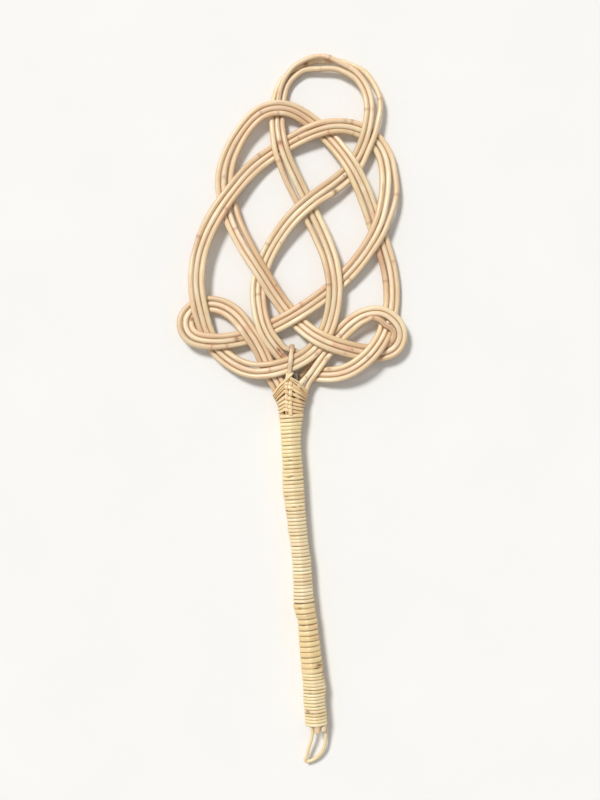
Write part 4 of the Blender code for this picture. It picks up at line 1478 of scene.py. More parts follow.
# Where the bound handle is a little thicker than its canes: place along it, how far its middle
# moves across, and how much its radius grows, in cane thicknesses.
SWELL_SHARES = (
    (-0.06, 0.0, 0.28), (-0.044, 0.1, 0.22), (-0.025, 0.15, 0.15), (0.0, 0.1, 0.1), (0.05, 0.0, 0.0),
    (0.1, -0.1, 0.0), (0.17, -0.1, 0.1), (0.205, -0.2, 0.2), (0.253, -0.3, 0.3), (0.291, -0.2, 0.2),
    (0.339, -0.1, 0.1), (0.378, -0.1, 0.1), (0.416, 0.0, 0.0), (0.473, 0.1, 0.1), (0.55, -0.1, 0.1),
    (0.588, -0.2, 0.2), (0.627, -0.3, 0.3), (0.665, 0.1, 0.1), (0.742, 0.0, 0.2), (0.837, 0.0, 0.2),
    (0.876, 0.1, 0.3), (0.914, -0.2, 0.2), (1.0, -0.2, 0.2),
)


class Girth:
    """The taut outline round the canes at every place along the handle.

    At each place the outline is the convex hull of the cut canes: in each direction it reaches
    as far as the farthest circle, and the distance from the middle at an angle is the least
    of those reaches over the cosine of the angle between.
    """

    step: float = 0.001
    directions: int = 144
    softness: float = 0.70
    upright_share: float = 0.25
    least_turn: float = 0.25
    bottom_share: float = 1.02
    top_margin: float = 0.004

    def __init__(self, sizes: Sizes, handle: Handle, strands: list[Strand]) -> None:
        """Measure the outline from just past the butt up to the foot of the head.

        Args:
            sizes: the driving sizes.
            handle: the handle's middle line.
            strands: the settled strands.
        """
        self.sizes = sizes
        low, high = handle.along(self.bottom_share), sizes.throat_top + self.top_margin
        self.along = np.arange(low, high + self.step, self.step)
        across, level, radius = np.stack([self._cut(strand) for strand in strands], axis=1)
        left, under = (np.nanmin(place - radius, axis=0) for place in (across, level))
        right, over = (np.nanmax(place + radius, axis=0) for place in (across, level))
        self.middle = np.stack([(left + right) / 2.0, (under + over) / 2.0], axis=1)
        wide, tall = (right - left) / 2.0, (over - under) / 2.0
        angle = round_angles(self.directions)
        cos, sin = np.cos(angle), np.sin(angle)
        reach = (across - self.middle[:, 0])[..., None] * cos
        reach += (level - self.middle[:, 1])[..., None] * sin
        reach = np.nanmax(reach + radius[..., None], axis=0)
        turn = np.cos(angle[:, None] - angle)
        ahead = np.where(turn > self.least_turn, turn, np.nan)
        taut = np.nanmin(reach[:, :, None] / ahead[None], axis=1)
        oval = 1.0 / np.hypot(cos / wide[:, None], sin / tall[:, None])
        self.reach = taut * (1.0 - self.softness) + np.maximum(oval, taut) * self.softness
        share, sideways, swell = np.asarray(SWELL_SHARES).T
        here = handle.share_at(self.along)
        self.middle[:, 0] += np.interp(here, share, sideways) * sizes.cane_diameter
        wider = self.upright_share + (1.0 - self.upright_share) * cos ** 2
        self.reach += np.interp(here, share, swell)[:, None] * sizes.cane_diameter * wider

    def _cut(self, strand: Strand) -> Array:
        """Return a strand's places across, heights and radii, each nan where it isn't there.

        Args:
            strand: a settled strand.

        Returns:
            The three values as rows, with a column for each place along the handle.
        """
        margin = Weave.throat_share * 2.0
        near = np.nonzero((strand.number < margin) | (strand.number > LAST - margin))[0]
        near = near[np.argsort(strand.plan[near, 1])]
        reached = strand.plan[near, 1]
        return np.stack([np.interp(self.along, reached, value[near], np.nan, np.nan)
                         for value in (strand.plan[:, 0], strand.height, strand.radius)])

    def at(self, along: Array, angle: Array) -> tuple[Array, Array]:
        """Read the outline between its measured places and angles.

        Args:
            along: places in Y.
            angle: directions in the cut, from +X towards +Z.

        Returns:
            The outline's middle (across, height) and its reach from there.
        """
        place = np.clip((along - self.along[0]) / self.step, 0.0, len(self.along) - 1.001)
        row, part = place.astype(int), place % 1.0
        turn = (angle % math.tau) / math.tau * self.directions
        column, share = turn.astype(int) % self.directions, turn % 1.0
        following = (column + 1) % self.directions
        low = self.reach[row, column] * (1.0 - share) + self.reach[row, following] * share
        high = self.reach[row + 1, column] * (1.0 - share) + self.reach[row + 1, following] * share
        middle = self.middle[row] * (1.0 - part[..., None]) + self.middle[row + 1] * part[..., None]
        return middle, low * (1.0 - part) + high * part


STRIP_CROWN = 9
STRIP_BELLY = 3
BELLY_WIDTH_SHARE = 0.96
BELLY_DEPTH_SHARE = 0.12
RIBBON_POWER = 2.3
SHADE_SCAR_FROM = 0.3


def strip_profile(edge_share: float, power: float) -> tuple[Array, Array]:
    """Return a strip's section: places across it from -1 to 1, and the rise at each.

    The back is a flattened arch between two edges, and the belly runs back just under zero.

    Args:
        edge_share: the edge's rise as a share of the thickness.
        power: how square the arch is.

    Returns:
        The places and the rises.
    """
    arch = np.linspace(-1.0, 1.0, STRIP_CROWN)
    back = np.maximum((1.0 - np.abs(arch) ** power) ** (1.0 / power), edge_share)
    belly = np.linspace(1.0, -1.0, STRIP_BELLY + 2)[1:-1] * BELLY_WIDTH_SHARE
    return np.r_[arch, belly], np.r_[back, np.full(STRIP_BELLY, -BELLY_DEPTH_SHARE)]


def strip_marks_and_shade(across: Array, rise: Array, width: Array, travel: Array,
               seed: int) -> dict[str, Array]:
    """Return the attributes of a strip's finish: grain, edges darkened with painted shade, and patches.

    Args:
        across: each column's place across the strip.
        rise: each column's rise in metres.
        width: the strip's width at each row.
        travel: how far along the strip each row lies.
        seed: the number that the patches hang on.

    Returns:
        The attributes by name.
    """
    # Painted shade darkens the strip's edges, in the grooves between its turns.
    tone, scar_and_shade = STRIP_TONE_AND_SHADE.over(across, travel, seed + 4)
    mean, most, wavelength = STRIP_WARM
    pink = held(mean + most * waver(travel, wavelength, seed + 5))
    blank = np.zeros(scar_and_shade.shape)
    grain = np.stack([across * width[:, None] / 2.0, blank + rise,
                      blank + (travel + 2.3 * seed)[:, None]], axis=-1)
    return {"grain": grain, "tone": held(tone), "scar_and_shade": scar_and_shade,
            "blush": blank + pink[:, None], "pale": blank}


def ribbon(path: Array, out: Array, width: Array, thick: Array, seed: int,
           edge_share: float = 0.35, shade: Array | float = 0.0) -> tuple[Array, dict]:
    """Carry a strip with a rounded back and a flat belly along a path.

    Args:
        path: the middle of the strip's belly at each point.
        out: the way outwards at each point.
        width: the strip's width at each point.
        thick: its thickness at each point.
        seed: the number that its patches hang on.
        edge_share: its edges' rise as a share of the thickness.
        shade: how much darker its skin is at each point.

    Returns:
        The grid of points and the attributes of its finish.
    """
    ahead = unit(np.gradient(path, axis=0))
    aside = unit(np.cross(ahead, out))
    above = np.cross(aside, ahead)
    across, rise = strip_profile(edge_share, RIBBON_POWER)
    grid = path[:, None, :] + aside[:, None, :] * (across * width[:, None] / 2.0)[..., None]
    grid = grid + above[:, None, :] * (rise * thick[:, None])[..., None]
    values = strip_marks_and_shade(across, rise * thick.mean(), width, lengths_along(path), seed)
    darker = np.broadcast_to(shade, len(path))[:, None]
    values["tone"] = held(values["tone"] + darker)
    values["scar_and_shade"] += SHADE_SCAR_FROM * np.maximum(darker - SHADE_SCAR_FROM, 0.0)
    return grid, values


@dataclass(frozen=True)
class Binding:
    """One strip wound round the canes: its turns, its lower end as a share of the handle, and
    its shades from light to deep. It starts where the one above it ends.
    """

    name: str
    turns: float
    bottom_share: float
    light: Steps
    middle: Steps
    deep: Steps


class Bindings:
    """The strips wound round the handle, each with a rounded back and tucked ends.

    Each waver says how far a size strays, as a share, and over what length.
    """

    steps: int = 72
    thickness: float = 0.00125
    gap: float = 0.00014
    edge_share: float = 0.42
    edge_power: float = 2.2
    start_share: float = 0.006
    start_angle: float = math.radians(200.0)
    tuck_turn: float = math.radians(26.0)
    width_waver: tuple[float, float] = (0.035, 0.021)
    drift_waver: tuple[float, float] = (0.06, 0.060)
    height_waver: tuple[float, float] = (0.10, 0.018)
    lean_waver: tuple[float, float] = (0.14, 0.033)

    def __init__(self, handle: Handle, girth: Girth, seat: Array) -> None:
        """Keep the handle's shape.

        Args:
            handle: the handle's middle line.
            girth: the bound handle's outline.
            seat: the step from the drawing's place to the model's.
        """
        self.handle = handle
        self.girth = girth
        self.seat = seat

    def build(self, rows: tuple[Binding, ...], groups: EffectGroups) -> None:
        """Wind every strip."""
        top = self.handle.along(self.start_share)
        for number, row in enumerate(rows):
            bottom = self.handle.along(row.bottom_share)
            grid, values = self._wind(row, top, bottom, 111 + 10 * number)
            finish = strip_skin(row.name.replace("binding", "strip_skin"), row.light, row.middle, row.deep)
            build_piece(row.name + "_strip", grid, values, finish.material(groups), row.name)
            top = bottom

    def _wind(self, row: Binding, top: float, bottom: float,
              seed: int) -> tuple[Array, dict[str, Array]]:
        """Wind one strip.

        The strip's middle runs down the handle by one pitch a turn, and the strip bends to the
        girth at every place across it. At both ends it sinks under its neighbour.

        Args:
            row: the strip.
            top: where it starts along Y.
            bottom: where it ends.
            seed: the number that its unevenness hangs on.

        Returns:
            Its points and the attributes of its finish.
        """
        pitch = (top - bottom) / row.turns
        turned = np.linspace(0.0, row.turns * math.tau, int(row.turns * self.steps) + 1)
        away = turned * self.girth.reach.mean()
        wide, drift, high, lean = (
            most * waver(away, wavelength, seed + k) for k, (most, wavelength) in
            enumerate((self.width_waver, self.drift_waver, self.height_waver, self.lean_waver)))
        width = (pitch - self.gap) * (1.0 + wide)
        middle = top - pitch * turned / math.tau + pitch * drift
        across, rise = strip_profile(self.edge_share, self.edge_power)
        tall = self.thickness * (1.0 + high)
        ends = held(np.minimum(turned, turned[-1] - turned) / self.tuck_turn)
        sunk = (1.0 - ease(ends)) * self.thickness
        place = middle[:, None] + across * width[:, None] / 2.0
        height = rise * tall[:, None] * (1.0 + lean[:, None] * across) - sunk[:, None]
        angle = np.repeat((self.start_angle + turned)[:, None], len(across), axis=1)
        centre, reach = self.girth.at(place, angle)
        out = reach + self.girth.sizes.clearance / 2.0 + height
        grid = np.stack([centre[..., 0] + out * np.cos(angle), place,
                         centre[..., 1] + out * np.sin(angle)], axis=-1) + self.seat
        values = strip_marks_and_shade(across, rise * self.thickness, width, away, seed)
        scar_strip(grid, values, self.seat)
        return grid, values


def scar_strip(grid: Array, values: dict[str, Array], seat: Array) -> None:
    """Put the dark spots of STRIP_SPOTS on the upper side of a strip.

    Args:
        grid: the strip's points.
        values: the attributes of its finish, of which the scar is changed.
        seat: the step from the drawing's place to the model's.
    """
    place = grid[..., :2] - seat[:2]
    for *spot, wide_share, long_share, strength in STRIP_SPOTS:
        reach = np.array([wide_share, long_share]) * SIZES.cane_diameter
        away = (((place - SIZES.spot(*spot)) / reach) ** 2).sum(axis=-1)
        weight = strength * np.exp(-away) * (grid[..., 2] > seat[2])
        values["scar_and_shade"] = held(values["scar_and_shade"] + weight)


# Dark spots on the bound handle: across and along as shares of the head's width and length,
# half width and half length in cane thicknesses, and strength.
STRIP_SPOTS = (
    (-0.0056, -0.2572, 0.34, 0.13, 1.0), (-0.0108, -0.3095, 0.5, 0.12, 1.0),
    (0.0, -0.3043, 0.4, 0.11, 0.9), (0.0347, -0.3176, 0.4, 0.11, 0.8), (0.0477, -0.3139, 0.3, 0.11, 0.7),
    (0.0117, -0.4002, 0.4, 0.12, 1.0), (0.0395, -0.3974, 0.34, 0.11, 0.8),
    (-0.0217, -0.3693, 0.3, 0.11, 0.8), (-0.0195, -0.4117, 0.3, 0.12, 0.8),
    (0.0364, -0.7107, 0.34, 0.18, 0.9), (0.1015, -0.6773, 0.4, 0.18, 0.8),
    (0.0958, -0.6949, 0.4, 0.18, 0.7), (0.0715, -1.0295, 0.34, 0.2, 1.0),
    (0.1201, -0.8859, 0.62, 0.34, 1.0), (0.1088, -0.8946, 0.5, 0.16, 0.9),
    (0.1349, -0.9193, 0.14, 0.9, 0.55), (0.0802, -0.9704, 0.3, 0.14, 0.5),
    (0.1149, -1.0106, 0.3, 0.12, 0.5),
)


def strip_skin(name: str, light: Steps, middle: Steps, deep: Steps) -> RattanSkin:
    """Return the finish of a wound strip, which has fewer pink patches than a cane."""
    return RattanSkin(name, light, middle, deep, mottle_share=0.25)


LASHING_SKIN = strip_skin("lashing_skin", (254, 238, 194), (250, 226, 172), (206, 156, 98))
LOOP_SKIN = RattanSkin("loop_skin", (253, 239, 192), (248, 225, 167), (200, 156, 94))
STRAP_SKIN = RattanSkin("strap_skin", (252, 236, 200), (245, 218, 176), (192, 147, 104), patches=420.0)
BINDINGS = (
    Binding("upper_binding", 17.0, 0.216, (255, 243, 196), (251, 233, 177), (212, 172, 110)),
    Binding("splice_binding", 8.0, 0.313, (255, 242, 200), (251, 231, 181), (210, 170, 112)),
    Binding("waist_binding", 26.0, 0.604, (254, 243, 206), (250, 232, 186), (208, 170, 116)),
    Binding("grip_binding", 13.0, 0.828, (251, 234, 184), (245, 217, 160), (196, 152, 92)),
    Binding("butt_binding", 16.0, 0.996, (254, 242, 200), (249, 230, 180), (206, 168, 112)),
)

# The throat's lashing, strip by strip: where it turns round the left edge, where it meets the
# woven column on the left and on the right, and where it turns round the right edge, as shares
# of the head's length, and its width in cane thicknesses.
LASHING_SHARES = (
    (-0.061, -0.0215, -0.0232, -0.059, 0.78), (-0.065, -0.029, -0.0362, -0.0644, 0.82),
    (-0.0718, -0.0446, -0.0529, -0.0718, 0.76), (-0.0805, -0.0631, -0.07, -0.082, 0.84),
    (-0.0898, -0.0772, -0.0833, -0.091, 0.74), (-0.101, -0.089, -0.095, -0.101, 0.72),
    (-0.1108, -0.1008, -0.1068, -0.1115, 0.76),
)

# The three strands that cross over the top of the column, from the edge of the throat inwards:
# across and along as shares of the head's width and length, then how far each is raised and
# how wide it is, in cane thicknesses.
CROSSING_SHARES = (
    ((-0.077, -0.0557, 0.0, 0.52), (-0.054, -0.031, 0.0, 0.54), (-0.0245, -0.0108, 0.25, 0.56),
     (-0.01, 0.0, 0.42, 0.56), (0.001, 0.0075, 0.36, 0.54), (0.006, 0.011, -0.1, 0.5)),
    ((0.073, -0.059, 0.0, 0.36), (0.05, -0.039, 0.0, 0.38), (0.019, -0.02, 0.0, 0.38),
     (-0.002, -0.0085, 0.2, 0.34), (-0.015, 0.001, 0.16, 0.34), (-0.023, 0.0085, 0.0, 0.3)),
    ((0.075, -0.0545, 0.0, 0.34), (0.051, -0.033, 0.0, 0.36), (0.022, -0.0135, 0.0, 0.38),
     (-0.001, -0.0035, 0.2, 0.34), (-0.0135, 0.006, 0.16, 0.34), (-0.02, 0.012, 0.0, 0.3)),
)


def outwards(path: Array, centre: Array) -> Array:
    """Return the way to each point of a path from a middle given as (across, height)."""
    away = path - (centre[0], 0.0, centre[1])
    return unit(away * (1.0, 0.0, 1.0))


class ThroatLashing:
    """The strips that draw the throat together and weave a column down its front.

    neck holds the places between which the column's two strands draw together at its top, and
    shoulder how far the canes fall away beside the throat's middle: places across and drops.
    """

    steps: int = 240
    thickness: float = 0.0010
    column_share: float = -0.0128
    strand_share: float = 0.0084
    strand_width_share: float = 0.0175
    rise_share: float = 1.40
    top_share: float = 0.0040
    foot_share: float = -0.1180
    lift: float = 0.0001
    easing: int = 6
    dip: float = 0.0003
    bump_share: float = 2.2
    edge_reach: float = 0.015
    edge_narrowing: float = 0.22
    edge_shade: float = 0.38
    points: int = 150
    neck: tuple[float, float] = (-0.006, 0.001)
    neck_share: float = 0.45
    neck_aside: float = 0.0006
    first_crossing: float = 0.4
    under_wave: float = -0.15
    sway: float = 0.0003
    strand_narrow: float = 0.78
    strand_swell: float = 0.30
    strand_shade: float = 0.65
    under_rise: float = 0.0012
    under_aside: float = 0.0005
    shoulder: tuple[tuple[float, ...], tuple[float, ...]] = ((0.0, 0.010, 0.0165), (0.0, 0.0008, 0.004))
    crossing_step: float = 0.0004
    above_from: float = 0.002
    above_over: float = 0.003

    def __init__(self, sizes: Sizes, girth: Girth, runs: list[Run], seat: Array) -> None:
        """Keep the throat's outline and the canes that the strips lie on.

        Args:
            sizes: the driving sizes.
            girth: the bound handle's outline.
            runs: the canes' lines.
            seat: the step from the drawing's place to the model's.
        """
        self.sizes = sizes
        self.girth = girth
        self.seat = seat
        near = [np.abs(run.line[:, 1] - seat[1]) < sizes.throat_length for run in runs]
        self.canes = np.concatenate([run.line[kept] for run, kept in zip(runs, near)]) - seat
        self.radii = np.concatenate([run.radius[kept] for run, kept in zip(runs, near)])
        self.middle = self.column_share * sizes.head_width
        self.aside = self.strand_share * sizes.head_width

    def _outline(self, along: float) -> Array:
        """Return the taut outline at a place in Y as (across, height), against the clock from +X.

        Args:
            along: the place.

        Returns:
            The outline's points.
        """
        angle = round_angles(self.steps)
        centre, reach = self.girth.at(np.full(self.steps, along), angle)
        return centre + np.stack([reach * np.cos(angle), reach * np.sin(angle)], axis=1)

    def _tops(self, plan: Array) -> Array:
        """Return the height of the highest cane under each place in plan.

        Args:
            plan: places across and along.

        Returns:
            The height at each place.
        """
        away = np.linalg.norm(plan[:, None, :] - self.canes[None, :, :2], axis=2)
        bare = np.maximum(self.radii ** 2 - away ** 2, 0.0)
        height = np.where(bare > 0.0, self.canes[:, 2] + np.sqrt(bare), -1.0)
        return height.max(axis=1)

    def _drape(self, path: Array, above: Array) -> Array:
        """Lift the upper part of a path off the canes below it, and ease its bends.

        Args:
            path: the strip's points.
            above: how much of the lift each point takes.

        Returns:
            The lifted path.
        """
        lifted = np.maximum(path[:, 2], self._tops(path[:, :2]) + self.lift)
        height = path[:, 2] * (1.0 - above) + lifted * above
        height = np.maximum(softened(height, self.easing), height - self.dip)
        return np.column_stack([path[:, :2], height])

    def _ring(self, number: int, row: tuple[float, ...]) -> tuple[Array, Array]:
        """Return one strip's path round the throat, and the way outwards at each point.

        The strip lies over one strand of the column and its two ends meet under the other.

        Args:
            number: the strip's number.
            row: its row of LASHING_SHARES.

        Returns:
            The path and the way outwards.
        """
        left, left_in, right_in, right = (share * self.sizes.head_length for share in row[:4])
        outline = self._outline((left + right) / 2.0)
        across, level = outline.T
        low, high = across.min(), across.max()
        column = (self.middle - 2.0 * self.aside, self.middle + 2.0 * self.aside)
        front = np.interp(across, [low, *column, high], [left, left_in, right_in, right])
        back = np.interp(across, [low, high], [left, right])
        centre = outline.mean(axis=0)
        above = ease(held((level - centre[1]) / (level.max() - centre[1]) * 2.0))
        path = np.column_stack([across, back * (1.0 - above) + front * above, level])
        toward = 1.0 if number % 2 else -1.0
        hidden, shown = self.middle - toward * self.aside, self.middle + toward * self.aside
        start = np.argmin(np.where(level > centre[1], np.abs(across - hidden), 1.0))
        path = self._drape(np.roll(path, -start, axis=0), np.roll(above, -start))
        path = np.vstack([path, path[:1]])
        away = np.clip((path[:, 0] - shown) / (self.bump_share * self.aside), -1.0, 1.0)
        bump = np.cos(away * math.pi / 2.0) ** 2
        path[:, 2] += bump * (path[:, 2] > centre[1]) * self.rise_share * self.thickness
        return path, outwards(path, centre)

    def _strand(self, toward: float) -> tuple[Array, Array, Array, Array]:
        """Return the path of one strand of the column, the way outwards, its width and shade.

        Args:
            toward: 1 or -1 for the strand's side.

        Returns:
            The path, the way outwards, the width and the shade.
        """
        length = self.sizes.head_length
        along = np.linspace(self.top_share * length, self.foot_share * length, self.points)
        across = self.middle + toward * self.aside * np.interp(along, self.neck, (1.0, self.neck_share))
        across += np.interp(along, self.neck, (0.0, self.neck_aside))
        level = np.empty(len(along))
        for k, place in enumerate(np.minimum(along, self.girth.along[-1])):
            outline = self._outline(place)
            upper = outline[outline[:, 1] > outline[:, 1].mean()]
            level[k] = np.interp(across[k], *upper[np.argsort(upper[:, 0])].T)
        path = self._drape(np.column_stack([across, along, level]), np.ones(len(along)))
        rows = np.asarray(LASHING_SHARES)
        share = 0.5 + 0.25 * toward
        crossings = (rows[:, 1] * (1.0 - share) + rows[:, 2] * share) * length
        crossings = np.r_[self.first_crossing * crossings[0], crossings]
        over = np.array([(number % 2 == 1) == (toward < 0.0) for number in range(-1, len(rows))])
        wave = np.interp(-along, -crossings, np.where(over, 1.0, self.under_wave))
        wave = 0.5 - 0.5 * np.cos(held(wave) * math.pi)
        path[:, 2] += wave * self.rise_share * self.thickness
        path[:, 0] += self.sway * toward * (wave - 0.5)
        width = self.strand_width_share * self.sizes.head_width
        width = width * (self.strand_narrow + self.strand_swell * wave)
        return path, np.tile(UP, (len(path), 1)), width, self.strand_shade * (1.0 - wave)

    def _crossing(self, rows: tuple) -> tuple[Array, Array, Array, float]:
        """Return the path of a strand over the top of the column, from the back of the throat.

        Args:
            rows: its rows of CROSSING_SHARES.

        Returns:
            The path, the way outwards, the width and the shade.
        """
        table = np.asarray(rows)
        table[:, :2] *= (self.sizes.head_width, self.sizes.head_length)
        outline = self._outline(table[0, 1])
        centre = outline.mean(axis=0)
        toward = np.sign(table[0, 0])
        aside, rise = toward * (outline[:, 0] - centre[0]), outline[:, 1] - centre[1]
        order = np.argsort(np.arctan2(rise, aside))
        order = order[(rise[order] < self.under_rise) & (aside[order] > self.under_aside)]
        under = np.insert(outline[order], 1, table[0, 1], axis=1)
        drop = np.interp(np.abs(table[1:, 0] - centre[0]), *self.shoulder)
        upper = np.column_stack([table[1:, :2], outline[:, 1].max() - drop])
        path, _ = smooth_line(np.vstack([under[::3], upper]), self.crossing_step)
        above = held((path[:, 2] - centre[1] - self.above_from) / self.above_over)
        path = self._drape(path, above)
        knots = table[np.argsort(toward * table[:, 0])]
        lift, width = (np.interp(toward * path[:, 0], toward * knots[:, 0], knots[:, k]) for k in (2, 3))
        path[:, 2] += lift * above * self.sizes.cane_diameter
        return path, outwards(path, centre), width * self.sizes.cane_diameter, 0.0

    def build(self, groups: EffectGroups) -> None:
        """Build the strips, the column's two strands and the three strands that cross them.

        Args:
            groups: the shared node groups.
        """
        material = LASHING_SKIN.material(groups)
        made = []
        for number, row in enumerate(LASHING_SHARES):
            path, out = self._ring(number, row)
            spread = held(np.abs(path[:, 0] - self.middle) / self.edge_reach)
            width = row[4] * self.sizes.cane_diameter * (1.0 - self.edge_narrowing * spread)
            made.append((f"strip_{number}", path, out, width, self.edge_shade * spread, 161 + 7 * number))
        for number, toward in enumerate((-1.0, 1.0)):
            made.append((f"strand_{number}", *self._strand(toward), 221 + 7 * number))
        for number, rows in enumerate(CROSSING_SHARES):
            made.append((f"crossing_{number}", *self._crossing(rows), 241 + 7 * number))
        for name, path, out, width, shade, seed in made:
            thick = np.full(len(path), self.thickness)
            grid, values = ribbon(path + self.seat, out, width, thick, seed, shade=shade)
            build_piece("throat_lashing_" + name, grid, values, material, "throat_lashing")


class CoreStick:
    """The stub that the canes are laid round, whose grey end shows in the throat."""

    sides: int = 24
    step: float = 0.002
    rim: float = 0.0008

    def build(self, strand: Strand, seat: Array) -> None:
        """Build the stub as a tube of changing girth with a worn end.

        Args:
            strand: the core's settled strand.
            seat: the step from the drawing's place to the model's.
        """
        travel = lengths_along(strand.plan)
        where = np.arange(0.0, travel[-1], self.step)
        line = read_line(where, travel, np.column_stack([strand.plan, strand.height]))
        line, full = close_ends(line + seat, self.rim)
        radius = with_ends(np.interp(where, travel, strand.radius)) * full
        grid = sweep(line, radius, self.sides)
        values = {"grain": tube_grain(radius, lengths_along(line), self.sides)}
        build_piece("core_stick_pith", grid, values, Pith().material(), "core_stick")


# The strap seen from above: along and across as shares of the head's length and width, and its
# width in cane thicknesses.
STRAP_SHARES = (
    (0.003, -0.0086, 0.76), (0.013, -0.0076, 0.74), (0.022, -0.0067, 0.88), (0.037, -0.006, 0.94),
    (0.058, -0.0028, 1.0), (0.068, -0.001, 0.96), (0.0765, 0.0002, 0.84), (0.083, 0.0016, 0.98),
    (0.09, 0.002, 1.02), (0.1, 0.002, 1.0),
)


class TieStrap:
    """The flat strap that hooks round the band above the throat.

    uneven says how far its thickness strays and over what length, and mottle holds the mean of
    its dark patches and the same two numbers.
    """

    thickness: float = 0.0012
    samples: int = 40
    step: float = 0.0005
    easing: int = 4
    edge_share: float = 0.30
    knob_share: float = 0.35
    knob_swell: float = 0.12
    uneven: tuple[float, float] = (0.12, 0.006)
    mottle: tuple[float, float, float] = (0.12, 0.12, 0.005)
    knob_shade_brown: float = 0.16
    knob_shade_tone: float = 0.25

    def __init__(self, sizes: Sizes, runs: list[Run]) -> None:
        """Keep the canes that the strap goes round."""
        self.sizes = sizes
        self.runs = runs

    def build(self, groups: EffectGroups, seat: Array) -> None:
        """Build the strap over the canes' outline seen from the side.

        The strap's path is the outline of the canes it covers, cut by the plane of its middle:
        in each direction from over the canes to under them it lies on the farthest circle.

        Args:
            groups: the shared node groups.
            seat: the step from the drawing's place to the model's.
        """
        sizes = self.sizes
        circles = []
        for run in self.runs:
            x, y = (run.line[:, :2] - seat[:2]).T
            near = np.abs(x - sizes.strap_across) < sizes.strap_width / 2.0 + run.radius
            near &= (y > sizes.throat_top) & (y < sizes.throat_length)
            circles.append(np.column_stack([run.line[near, 1:], run.radius[near]]))
        along, level, radius = np.concatenate(circles).T
        angle = np.linspace(math.pi / 2.0, -math.pi / 2.0, self.samples)
        cos, sin = np.cos(angle), np.sin(angle)
        room = (radius + sizes.clearance)[:, None]
        reach = (along[:, None] * cos + level[:, None] * sin + room).max(axis=0)
        slope = np.gradient(reach, angle)
        hook = np.column_stack([reach * cos - slope * sin, reach * sin + slope * cos])
        shares, asides, widths = np.asarray(STRAP_SHARES).T
        knots = shares * sizes.head_length + seat[1]
        near = sizes.throat_top + seat[1] + sizes.clearance
        path = np.vstack([[knots[0], hook[0, 1]], hook, [near, hook[-1, 1]]])
        travel = lengths_along(path)
        where = np.arange(0.0, travel[-1], self.step)
        along, level = (softened(axis, self.easing) for axis in read_line(where, travel, path).T)
        middle = np.interp(along, knots, asides * sizes.head_width + seat[0])
        width = np.interp(along, knots, widths) * sizes.cane_diameter
        path = np.column_stack([middle, along, level])
        out = unit(np.column_stack([np.zeros(len(path)), -np.gradient(level), np.gradient(along)]))
        # Painted shade on the knob where the strap folds over the band: a darker tone and some scar brown.
        knob = np.exp(-((along - knots[-2]) / (self.knob_share * sizes.cane_diameter)) ** 2)
        knob *= level > level.mean()
        uneven, wavelength = self.uneven
        thick = self.thickness * (1.0 + self.knob_swell * knob + uneven * waver(where, wavelength, 301))
        grid, values = ribbon(path, out, width, thick, 303, self.edge_share)
        mean, most, wavelength = self.mottle
        mottled = self.knob_shade_brown * knob + mean + most * waver(where, wavelength, 307)
        values["scar_and_shade"] = held(values["scar_and_shade"] + mottled[:, None])
        values["tone"] = held(values["tone"] + self.knob_shade_tone * knob[:, None])
        build_piece("tie_strap_strip", grid, values, STRAP_SKIN.material(groups), "tie_strap")


class HangingLoop:
    """The thin cane bent into a loop at the butt.

    uneven says how far its radius strays, as a share, and over what length.
    """

    sides: int = 18
    step_share: float = 0.25
    uneven: tuple[float, float] = (0.05, 0.012)
    tone: float = 0.1
    pale: float = 0.25

    def __init__(self, sizes: Sizes, handle: Handle) -> None:
        """Draw the loop's line.

        Args:
            sizes: the driving sizes.
            handle: the handle's middle line.
        """
        self.sizes = sizes
        rows = [(handle.across(1.0) + aside * sizes.loop_width,
                 handle.along(1.0) - along * sizes.loop_length, up * sizes.loop_drop)
                for along, aside, up in LOOP_SHARES]
        self.line, _ = smooth_line(np.asarray(rows), self.step_share * sizes.loop_diameter)

    def seat(self, band: Band) -> Array:
        """Return the step from the drawing's place to the model's.

        The model stands with the middle of its box over the origin, so the step is the box's
        middle turned round, and in height it is the handle's rise above the floor.

        Args:
            band: the band's lines in plan.

        Returns:
            The step.
        """
        lines = [(line, self.sizes.cane_radius) for line in band.canes]
        lines.append((self.line[:, :2], self.sizes.loop_diameter / 2.0))
        low = np.min([line.min(axis=0) - radius for line, radius in lines], axis=0)
        high = np.max([line.max(axis=0) + radius for line, radius in lines], axis=0)
        return np.array([*-(low + high) / 2.0, self.sizes.handle_rise])

    def build(self, groups: EffectGroups, seat: Array) -> None:
        """Build the loop as a slightly flattened tube.

        Args:
            groups: the shared node groups.
            seat: the step from the drawing's place to the model's.
        """
        line, full = close_ends(self.line + seat)
        travel = lengths_along(line)
        most, wavelength = self.uneven
        radius = self.sizes.loop_diameter / 2.0 * (1.0 + most * waver(travel, wavelength, 91)) * full
        grid = sweep(line, radius, self.sides)
        blank = np.zeros(grid.shape[:2])
        values = {"grain": tube_grain(radius, travel, self.sides), "tone": blank + self.tone,
                  "scar_and_shade": blank, "blush": blank, "pale": blank + self.pale}
        build_piece("hanging_loop_cane", grid, values, LOOP_SKIN.material(groups), "hanging_loop")


